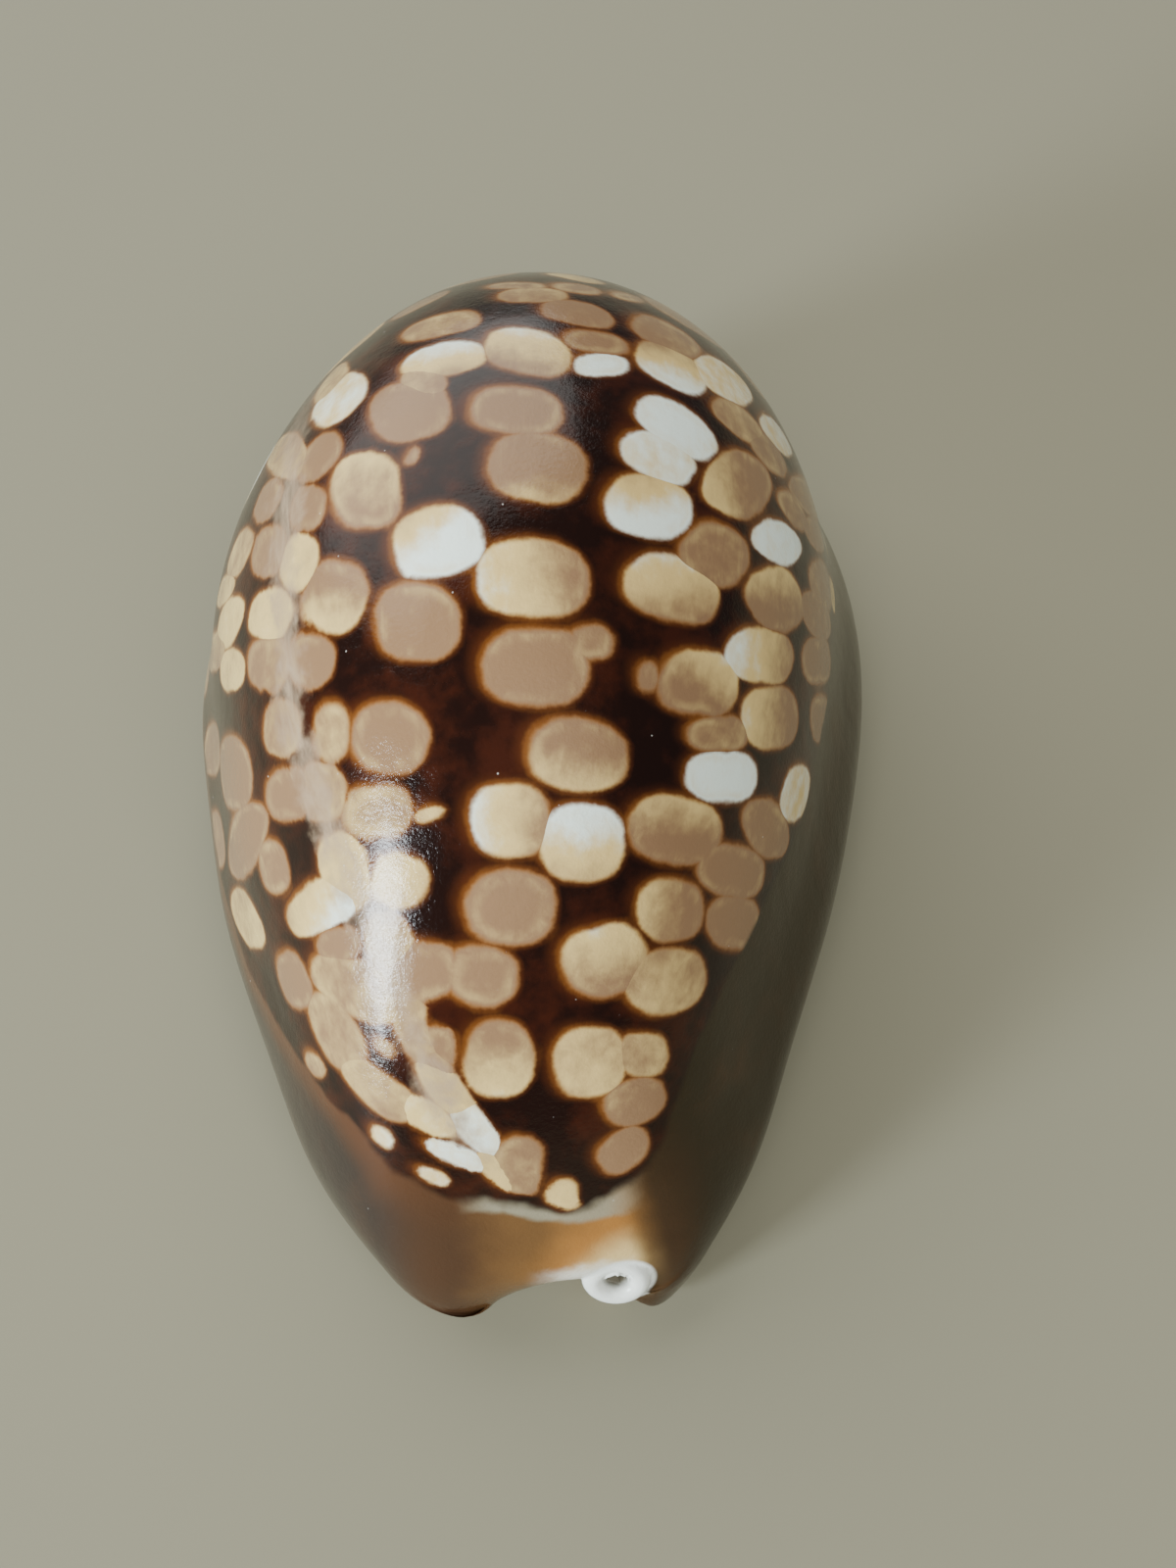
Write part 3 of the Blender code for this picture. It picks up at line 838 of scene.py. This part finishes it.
def spot_from_photograph(x, y, half_width, half_height, turn, tone, side=""):
    """Throws a spot seen in the photograph onto the shell, along the rays of its pixels."""
    middle, normal, _, _ = shell_tree.ray_cast(view_from, ray_of_pixel(x, y))
    if middle is None:
        return None
    turn = math.radians(turn)
    brighter = np.zeros(2)
    axes = []
    for half, right, down in (
        (half_width, math.cos(turn), math.sin(turn)), (half_height, -math.sin(turn), math.cos(turn))
    ):
        ends = []
        for way in (1, -1):
            ray = ray_of_pixel(x + way * half * right, y + way * half * down)
            ends.append(view_from + ray * ((middle - view_from).dot(normal) / ray.dot(normal)))
        axis = (ends[0] - ends[1]) / 2
        axes.append(axis * min(1, SPOT_LONGEST / axis.length))
        for letter in side:
            brighter[len(axes) - 1] += TOWARDS[letter][0] * right + TOWARDS[letter][1] * down
    return Spot(middle, normal, *axes, tone, BRIGHTER_SIDE * brighter)


# The pattern ends above the margins: its lower edge along both sides, from front to back
EDGE_Y_MM = (-40.0, -37.0, -34.0, -30.0, -26.0, -20.0, -12.0, 5.0, 20.0, 35.0, 44.0)
EDGE_LEFT_MM = (15.5, 17.5, 18.0, 16.5, 14.3, 12.2, 11.5, 11.5, 12.0, 12.0, 12.0)
EDGE_RIGHT_MM = (13.8, 16.0, 18.5, 21.0, 22.0, 21.8, 20.3, 19.8, 17.0, 15.0, 13.0)
PATTERN_FRONT = -40.9 * MM
PATTERN_FRONT_MIDDLE = 2.0 * MM
PATTERN_FRONT_BEND = 0.022 / MM
PATTERN_FRONT_STEEPNESS = 1.2
SIDES_MEET = 4 * MM

along_shell = places[:, 1] / MM
right_side = ramp(places[:, 0], -SIDES_MEET, SIDES_MEET)
edge_height = np.interp(along_shell, EDGE_Y_MM, EDGE_LEFT_MM) * (1 - right_side)
edge_height += np.interp(along_shell, EDGE_Y_MM, EDGE_RIGHT_MM) * right_side
pattern_front = PATTERN_FRONT + PATTERN_FRONT_BEND * (places[:, 0] - PATTERN_FRONT_MIDDLE) ** 2
behind_front = (places[:, 1] - pattern_front) * PATTERN_FRONT_STEEPNESS
above_edge = np.minimum(places[:, 2] - edge_height * MM, behind_front)

inside = np.empty(len(places))
shell.data.attributes["hollow"].data.foreach_get("value", inside)

seen_marks = SPOTS_BACK_LEFT + SPOTS_BACK_RIGHT + SPOTS_FRONT_RIGHT + SPOTS_FRONT_LEFT
spots = [spot_from_photograph(*mark) for mark in seen_marks + STREAKS_FRONT_LEFT]
spots = [spot for spot in spots if spot]

# The hidden sides carry the same kind of spots, set as close as they go
HIDDEN_SIZES_MM = (3.6, 3.1, 2.6, 2.1)
HIDDEN_TRIES = 2600
HIDDEN_GAP = 0.75 * MM
HIDDEN_BELOW = 0.12
HIDDEN_MARGIN = 0.5 * MM
HIDDEN_TONES = (0.05, 0.15, 0.3, 0.5, 0.85, 1.0)
HIDDEN_TONE_SHARES = (0.22, 0.22, 0.22, 0.14, 0.12, 0.08)
HIDDEN_SIZE_SPREAD = (0.92, 1.08)
HIDDEN_STRETCH = (1.0, 1.22)
HIDDEN_TURN = 0.5
LOW_SPOT_SIZE = 0.7
LOW_SPOT_SPAN = (2 * MM, 12 * MM)
HIDDEN_SEED = 41
random = np.random.default_rng(HIDDEN_SEED)
to_view = np.array(view_from) - places
facing_view = (to_view * normals).sum(axis=1) / np.linalg.norm(to_view, axis=1)
is_free = (facing_view < HIDDEN_BELOW) & (above_edge > HIDDEN_MARGIN) & (inside < 0.5)
free = np.flatnonzero(is_free)
middles = np.array([spot.middle for spot in spots])
sizes = np.array([spot.size for spot in spots])
for size_mm in HIDDEN_SIZES_MM:
    for index in random.choice(free, HIDDEN_TRIES):
        place, normal = places[index], normals[index]
        low_share = 1 - ramp(above_edge[index], *LOW_SPOT_SPAN)
        size = size_mm * MM * (1 - (1 - LOW_SPOT_SIZE) * low_share)
        size *= random.uniform(*HIDDEN_SIZE_SPREAD)
        if (np.linalg.norm(middles - place, axis=1) < sizes + size + HIDDEN_GAP).any():
            continue
        lengthwise = np.cross(normal, (1, 0, 0))
        turn = random.normal(0, HIDDEN_TURN)
        longer = np.cross(lengthwise, normal) * math.cos(turn) + lengthwise * math.sin(turn)
        longer /= np.linalg.norm(longer)
        shorter = np.cross(normal, longer)
        stretch = random.uniform(*HIDDEN_STRETCH)
        axes = longer * size * stretch, shorter * size / stretch
        tone = random.choice(HIDDEN_TONES, p=HIDDEN_TONE_SHARES)
        brighter = random.normal(0, BRIGHTER_SIDE / 2, 2)
        spots.append(Spot(place, normal, *axes, tone, brighter))
        middles = np.vstack([middles, place])
        sizes = np.append(sizes, size)

# Neighbouring spots go to different groups, so that the thin line between two of them is drawn
# by two smooth fields, and stays sharp between the mesh's points
for index, spot in enumerate(spots):
    apart = np.linalg.norm(middles[:index] - spot.middle, axis=1) - sizes[:index] - spot.size
    nearest = np.full(SPOT_GROUPS, np.inf)
    for other, gap in zip(spots[:index], apart):
        nearest[other.group] = min(nearest[other.group], gap)
    roomy = np.flatnonzero(nearest > SPOT_CROWDED)
    spot.group = int(roomy[0]) if len(roomy) else int(nearest.argmax())

# Each mark has a brown and amber halo, set a little towards the left and up in the photograph
HALO_GROWTH = 0.35 * MM
SAME_SIDE = 0.1
HALO_SHIFT = np.array(view_up * 0.25 - view_right * 0.6) * MM
group_edge = np.full((SPOT_GROUPS, len(places)), SPOT_FAR)
group_tone = np.zeros((SPOT_GROUPS, len(places)))
halo = np.full(len(places), SPOT_FAR)
for spot in spots:
    close = np.flatnonzero(
        (np.abs(places - spot.middle).max(axis=1) < spot.size + 2 * SPOT_FAR)
        & (normals @ spot.normal > SAME_SIDE)
    )
    edge, own = spot.measure(places[close])
    closer = edge < group_edge[spot.group, close]
    group_edge[spot.group, close[closer]] = edge[closer]
    brighter = np.clip(own[closer] @ spot.brighter, -BRIGHTER_LIMIT, BRIGHTER_LIMIT)
    group_tone[spot.group, close[closer]] = spot.tone + brighter
    halo_edge, _ = spot.measure(places[close], HALO_GROWTH, HALO_SHIFT)
    halo[close] = np.minimum(halo[close], halo_edge)

# The line where the two folds of the mantle met, from front to back: points on it in the
# photograph's pixels, and then its hidden end over the back, across and along in millimetres
LINE_PIXELS = (
    (590, 1230), (520, 1210), (450, 1130), (400, 1000), (340, 850), (300, 740), (290, 600),
    (300, 440),
)
LINE_END_MM = ((-15, 25), (-10, 35), (-4, 41))
LINE_LOWEST = 9 * MM
LINE_FAR = 20 * MM
line = [shell_tree.ray_cast(view_from, ray_of_pixel(*pixel))[0].xy for pixel in LINE_PIXELS]
line = np.array(line + [Vector(point) * MM for point in LINE_END_MM])
line_x = np.interp(places[:, 1], line[:, 1], line[:, 0])
to_line = np.where(places[:, 2] > LINE_LOWEST, np.abs(places[:, 0] - line_x), LINE_FAR)

curl_middle = np.array(fit @ curl_place.translation)
to_curl = np.linalg.norm(places - curl_middle, axis=1)
to_front = places[:, 1] - node_low[1]


def keep(name, *parts):
    """Stores up to three numbers of each point, in millimetres or shares, for the material."""
    rows = np.zeros((len(places), 3))
    for column, part in enumerate(parts):
        rows[:, column] = part
    made = shell.data.attributes.new(name, "FLOAT_VECTOR", "POINT")
    made.data.foreach_set("vector", rows.ravel())


keep("spots_a", *(group_edge[:3] / MM))
keep("spots_b", *(group_edge[3:] / MM))
keep("tones_a", *group_tone[:3])
keep("tones_b", *group_tone[3:])
keep("field", above_edge / MM, halo / MM, to_line / MM)
keep("ends", to_front / MM, to_curl / MM, inside)

# The glaze: glossy, with the marks under it. A pair of numbers gives the two places between which
# one colour turns into the other: in millimetres, or in shares of tone
BROAD_SCALE = 0.22
RAGGED_SCALE = 0.8
FINE_SCALE = 3.2
STREAK_SCALE = 0.9
STREAK_STRETCH = (1.0, 0.22, 1.0)
STREAK_TURN = (0, 0, math.radians(-12))

position = glaze.node("TexCoord").outputs["Object"]
in_mm = glaze.node("VectorMath", {"operation": "SCALE"}, Vector=position, Scale=1 / MM).outputs[0]


def parts_of(name):
    """The three numbers that a vector attribute holds."""
    stored = glaze.node("Attribute", {"attribute_name": name})
    split = glaze.node("SeparateXYZ", Vector=stored.outputs["Vector"])
    return [glaze.number(socket) for socket in split.outputs]


def near(value, middle, reach):
    """1 around the middle, and 0 beyond the reach on both sides of it."""
    return (value - middle).apply("ABSOLUTE").fall(*reach)


above, halo_off, off_line = parts_of("field")
from_front, off_curl, is_inside = parts_of("ends")
here = glaze.node("SeparateXYZ", Vector=in_mm)
x_mm, y_mm, z_mm = [glaze.number(socket) for socket in here.outputs]
broad = glaze.noise(in_mm, BROAD_SCALE, detail=2.0) - 0.5
ragged = glaze.noise(in_mm, RAGGED_SCALE, detail=3.0, roughness=0.55) - 0.5
fine = glaze.noise(in_mm, FINE_SCALE, detail=3.0, roughness=0.6) - 0.5
streak_place = glaze.node("Mapping", Vector=in_mm, Scale=STREAK_STRETCH, Rotation=STREAK_TURN)
streak_place = streak_place.outputs[0]
streaks = glaze.noise(streak_place, STREAK_SCALE, detail=3.0, roughness=0.6, distortion=0.6) - 0.5

# The spots, from tan to nearly white, with an amber edge. They swell along the mantle's line
TAN = (0.288, 0.168, 0.088, 1)
CREAM = (0.78, 0.56, 0.22, 1)
PALE = (0.90, 1.0, 0.90, 1)
HALO_AMBER = (0.36, 0.14, 0.025, 1)
SPOT_SHRINK_MM = 0.05
SPOT_EDGE_MM = (-0.25, 0.2)
SPOT_AMBER_MM = (-0.35, 0.1)
RIM_STARTS_MM = (-1.3, -0.5)
RIM_ENDS_MM = (-0.5, -0.2)
RIM_PLACES = (-0.05, 0.45)
CREAM_TONES = (0.15, 0.7)
PALE_TONES = (0.65, 1.05)
LINE_SWELLING_MM = 0.5
LINE_REACH_MM = (0.4, 3.2)
LINE_ENDS_Y_MM = (-6, 30)

on_line = (off_line + streaks * 4.0).fall(*LINE_REACH_MM) * y_mm.fall(*LINE_ENDS_Y_MM)
wobble = broad * 0.8 + ragged * 0.45 + fine * 0.06
edges = parts_of("spots_a") + parts_of("spots_b")
tones = parts_of("tones_a") + parts_of("tones_b")
nearest_edge = edges[0]
tone = tones[0]
for other_edge, other_tone in zip(edges[1:], tones[1:]):
    is_nearer = other_edge.apply("LESS_THAN", nearest_edge)
    tone = tone + is_nearer * (other_tone - tone)
    nearest_edge = nearest_edge.smaller(other_edge)
off_spot = nearest_edge + wobble - on_line * LINE_SWELLING_MM + SPOT_SHRINK_MM
tone = tone + ragged * 0.35 + broad * 0.4 + streaks * 0.25
spot_colour = glaze.mix(tone.ramp(*CREAM_TONES), TAN, CREAM)
spot_colour = glaze.mix(tone.ramp(*PALE_TONES), spot_colour, PALE)
pale_rim = off_spot.ramp(*RIM_STARTS_MM) * off_spot.fall(*RIM_ENDS_MM)
pale_rim = pale_rim * (streaks + broad * 1.5 + 0.1).ramp(*RIM_PLACES)
spot_colour = glaze.mix(pale_rim * 0.3, spot_colour, CREAM)
spot_colour = glaze.mix(off_spot.ramp(*SPOT_AMBER_MM) * 0.6, spot_colour, HALO_AMBER)

# The dark network between the spots, browner and redder where it is thin, and the pale smear on
# the mantle's line
NETWORK = (0.012, 0.004, 0.0025, 1)
NETWORK_RED = (0.05, 0.011, 0.004, 1)
HALO_BROWN = (0.10, 0.026, 0.006, 1)
SMEAR = (0.44, 0.32, 0.21, 1)
RED_PLACES = (-0.2, 0.5)
HALO_REACH_MM = (-1.1, 0.45)
AMBER_REACH_MM = (0.0, 0.6)
BROWN_REACH_MM = (0.05, 0.5)
SMEAR_REACH_MM = (0.3, 1.8)
SMEAR_FRONT_Y_MM = (-39, -36)
SMEAR_BACK_Y_MM = (4, 26)

halo_share = (halo_off + wobble * 0.8).fall(*HALO_REACH_MM)
net_colour = glaze.mix((broad * 2 + ragged).ramp(*RED_PLACES) * 0.7, NETWORK, NETWORK_RED)
net_colour = glaze.mix(halo_share * 0.75, net_colour, HALO_BROWN)
amber_share = halo_share * off_spot.fall(*AMBER_REACH_MM) * (0.5 + broad * 1.6).larger(0.05)
net_colour = glaze.mix(amber_share, net_colour, HALO_AMBER)
net_colour = glaze.mix(off_spot.fall(*BROWN_REACH_MM) * 0.5, net_colour, HALO_BROWN)
pattern = glaze.mix(off_spot.fall(*SPOT_EDGE_MM), net_colour, spot_colour)
smear = (off_line + ragged * 2.2 + broad * 3).fall(*SMEAR_REACH_MM)
smear = smear * (0.6 + streaks * 1.6).smaller(1).larger(0)
smear = smear * y_mm.fall(*SMEAR_BACK_Y_MM) * y_mm.ramp(*SMEAR_FRONT_Y_MM)
pattern = glaze.mix(smear, pattern, SMEAR)

# The plain margins, rusty beside the pattern on the left, and browner on the two front lobes
LEFT_MARGIN = (0.032, 0.023, 0.018, 1)
RIGHT_MARGIN = (0.026, 0.017, 0.0065, 1)
MARGIN_RUST = (0.12, 0.045, 0.016, 1)
LOBE_BROWN = (0.075, 0.035, 0.016, 1)
MARGINS_MEET_X_MM = (-6, 8)
RUST_HEIGHT_MM = (-3.5, 0)
RUST_X_MM = (-8, 2)
RUST_PLACES = (-0.1, 0.9)
LEFT_LOBE_X_MM = -5
LEFT_LOBE_WIDTH_MM = (2.0, 8.0)
LEFT_LOBE_LENGTH_MM = (3.0, 13.0)
RIGHT_LOBE_X_MM = 9.5
RIGHT_LOBE_WIDTH_MM = (1.0, 4.5)
RIGHT_LOBE_LENGTH_MM = (5.0, 13.0)

margin = glaze.mix(x_mm.ramp(*MARGINS_MEET_X_MM), LEFT_MARGIN, RIGHT_MARGIN)
rust_share = above.ramp(*RUST_HEIGHT_MM) * x_mm.fall(*RUST_X_MM)
margin = glaze.mix(rust_share * 0.65, margin, MARGIN_RUST)
margin = glaze.mix((broad * 1.6 + fine * 0.4).ramp(*RUST_PLACES) * 0.35, margin, MARGIN_RUST)
left_lobe = (from_front + broad * 4).fall(*LEFT_LOBE_LENGTH_MM)
left_lobe = left_lobe * near(x_mm, LEFT_LOBE_X_MM, LEFT_LOBE_WIDTH_MM)
margin = glaze.mix(left_lobe * 0.8, margin, LOBE_BROWN)
right_lobe = (from_front + broad * 4).fall(*RIGHT_LOBE_LENGTH_MM)
right_lobe = right_lobe * near(x_mm, RIGHT_LOBE_X_MM, RIGHT_LOBE_WIDTH_MM)
margin = glaze.mix(right_lobe * 0.5, margin, LOBE_BROWN)

# The roof of the front canal: tawny to orange, cream round the curl, and white along its edge
FRONT_ORANGE = (0.40, 0.175, 0.042, 1)
FRONT_TAWNY = (0.16, 0.08, 0.028, 1)
RIM_CREAM = (0.85, 0.62, 0.27, 1)
CANAL_WHITE = (0.95, 0.97, 0.90, 1)
ROOF_LENGTH_MM = (6.0, 10.0)
ROOF_LEFT_X_MM = (-6.5, 0.0)
ROOF_RIGHT_X_MM = (8.0, 12.0)
UNDER_CURL_X_MM = (4.5, 8.0)
UNDER_CURL_Z_MM = (3.5, 9.0)
ORANGE_STARTS_X_MM = (-1.8, 4.2)
ORANGE_ENDS_X_MM = (7.8, 10.2)
CREAM_REACH_MM = (3.2, 6.2)
WHITE_DEPTH_MM = (1.5, 2.3)
WHITE_STARTS_X_MM = (-1.0, 4.0)
WHITE_ENDS_X_MM = (6.0, 8.0)

roof_x = x_mm + broad * 5 + ragged * 0.4
right_edge = x_mm + broad * 2 + from_front * 0.4
roof = (from_front + ragged * 2 + broad * 2).fall(*ROOF_LENGTH_MM) * roof_x.ramp(*ROOF_LEFT_X_MM)
roof = roof * right_edge.fall(*ROOF_RIGHT_X_MM)
roof = roof * (1 - x_mm.ramp(*UNDER_CURL_X_MM) * z_mm.fall(*UNDER_CURL_Z_MM))
orange_share = (roof_x - from_front * 0.4).ramp(*ORANGE_STARTS_X_MM)
roof_colour = glaze.mix(orange_share, FRONT_TAWNY, FRONT_ORANGE)
cream_share = (off_curl + broad * 3).fall(*CREAM_REACH_MM)
roof_colour = glaze.mix(cream_share * 0.85, roof_colour, RIM_CREAM)
roof_colour = glaze.mix(right_edge.ramp(*ORANGE_ENDS_X_MM) * 0.8, roof_colour, FRONT_TAWNY)
white_edge = (from_front - x_mm * 0.15 + ragged * 0.6).fall(*WHITE_DEPTH_MM)
white_edge = white_edge * x_mm.ramp(*WHITE_STARTS_X_MM) * x_mm.fall(*WHITE_ENDS_X_MM)
roof_colour = glaze.mix(white_edge, roof_colour, CANAL_WHITE)
margin = glaze.mix(roof, margin, roof_colour)

# The pale band between the pattern and the roof, and the white curl, with painted shade in its pit
FRONT_BAND = (0.32, 0.29, 0.20, 1)
# A painted shade colour for the deep inside of the pit, not a colour of the shell itself
PIT_PAINTED_SHADE = (0.16, 0.14, 0.10, 1)
BAND_X_MM = 1.4
BAND_WIDTH_MM = (3.6, 7.0)
BAND_BACK_Y_MM = (-34, -30)
BAND_DEPTH_MM = (0.45, 1.0)
CURL_EDGE_MM = (0.1, 0.5)
PIT_EDGE_MM = (0.95, 1.4)
PIT_SHADE_DEPTH_MM = (-0.75, 0.3)

band = (broad * 1.6 + ragged * 0.3 - above).fall(*BAND_DEPTH_MM)
band = band * near(x_mm + broad * 2, BAND_X_MM, BAND_WIDTH_MM) * y_mm.fall(*BAND_BACK_Y_MM)
margin = glaze.mix(band * 0.9, margin, FRONT_BAND)
curl_x, curl_y, curl_z = curl_middle / MM
off_face = (y_mm - curl_y) * curl_axis[1] + (z_mm - curl_z) * curl_axis[2]
along_face = (z_mm - curl_z) * curl_axis[1] - (y_mm - curl_y) * curl_axis[2]
off_axis = ((x_mm - curl_x) * (x_mm - curl_x) + along_face * along_face).apply("SQRT")
off_circle = off_axis - CURL_RADIUS / MM
off_ring = (off_circle * off_circle + off_face * off_face).apply("SQRT") - CURL_THICKNESS / MM / 2
margin = glaze.mix(off_ring.fall(*CURL_EDGE_MM), margin, CANAL_WHITE)
# Painted shade: the deep part of the pit is darkened to stand in for the shade that falls inside it
pit_shade = off_axis.fall(*PIT_EDGE_MM) * off_face.ramp(*PIT_SHADE_DEPTH_MM)
margin = glaze.mix(pit_shade, margin, PIT_PAINTED_SHADE)

# The base with its paler teeth, the hollow, and the few pale specks in the gloss
BASE_BROWN = (0.055, 0.03, 0.018, 1)
TOOTH_PALE = (0.42, 0.27, 0.15, 1)
INSIDE_PALE = (0.62, 0.62, 0.66, 1)
SPECK = (0.75, 0.74, 0.70, 1)
BASE_HEIGHT_MM = (0.0, 0.7)
MARGIN_EDGE_MM = (-0.25, 0.4)
SPECK_SCALE = 0.55
SPECK_SIZE = (0.02, 0.05)
SPECK_PLACES = (0.02, 0.12)

margin = glaze.mix(z_mm.fall(*BASE_HEIGHT_MM) * 0.6, margin, BASE_BROWN)
margin = glaze.mix(glaze.attribute("lip") * 0.55, margin, TOOTH_PALE)
over_margin = (above + ragged * 0.25 + broad * 1.8).ramp(*MARGIN_EDGE_MM)
colour = glaze.mix(over_margin, margin, pattern)
colour = glaze.mix(is_inside, colour, INSIDE_PALE)
specks = glaze.node("TexVoronoi", Vector=in_mm, Scale=SPECK_SCALE, Randomness=1.0)
off_speck = glaze.number(specks.outputs["Distance"]) + fine * 0.05
speck = off_speck.fall(*SPECK_SIZE) * ragged.ramp(*SPECK_PLACES)
colour = glaze.mix(speck * 0.7, colour, SPECK)
glaze.tree.links.new(colour, glaze.shader.inputs["Base Color"])

# The gloss itself: hard and clear, and dulled a little by fine unevenness
GLAZE_ROUGHNESS = 0.15
GLAZE_COAT = 0.15
GLAZE_COAT_ROUGHNESS = 0.1
GLAZE_SPECULAR = 0.3
GLAZE_IOR = 1.45
BUMP_STRENGTH = 0.4
BUMP_DISTANCE = 0.3 * MM

roughness = GLAZE_ROUGHNESS + (broad + fine * 0.8) * 0.12 + speck * 0.3 + is_inside * 0.15
glaze.tree.links.new(roughness.socket, glaze.shader.inputs["Roughness"])
glaze.shader.inputs["Coat Weight"].default_value = GLAZE_COAT
glaze.shader.inputs["Coat Roughness"].default_value = GLAZE_COAT_ROUGHNESS
glaze.shader.inputs["Specular IOR Level"].default_value = GLAZE_SPECULAR
glaze.shader.inputs["IOR"].default_value = GLAZE_IOR
bump = glaze.node("Bump", Strength=BUMP_STRENGTH, Distance=BUMP_DISTANCE)
glaze.tree.links.new((broad * 1.2 + fine * 0.3).socket, bump.inputs["Height"])
glaze.tree.links.new(bump.outputs[0], glaze.shader.inputs["Normal"])

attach(shell, "root")
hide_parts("shell")
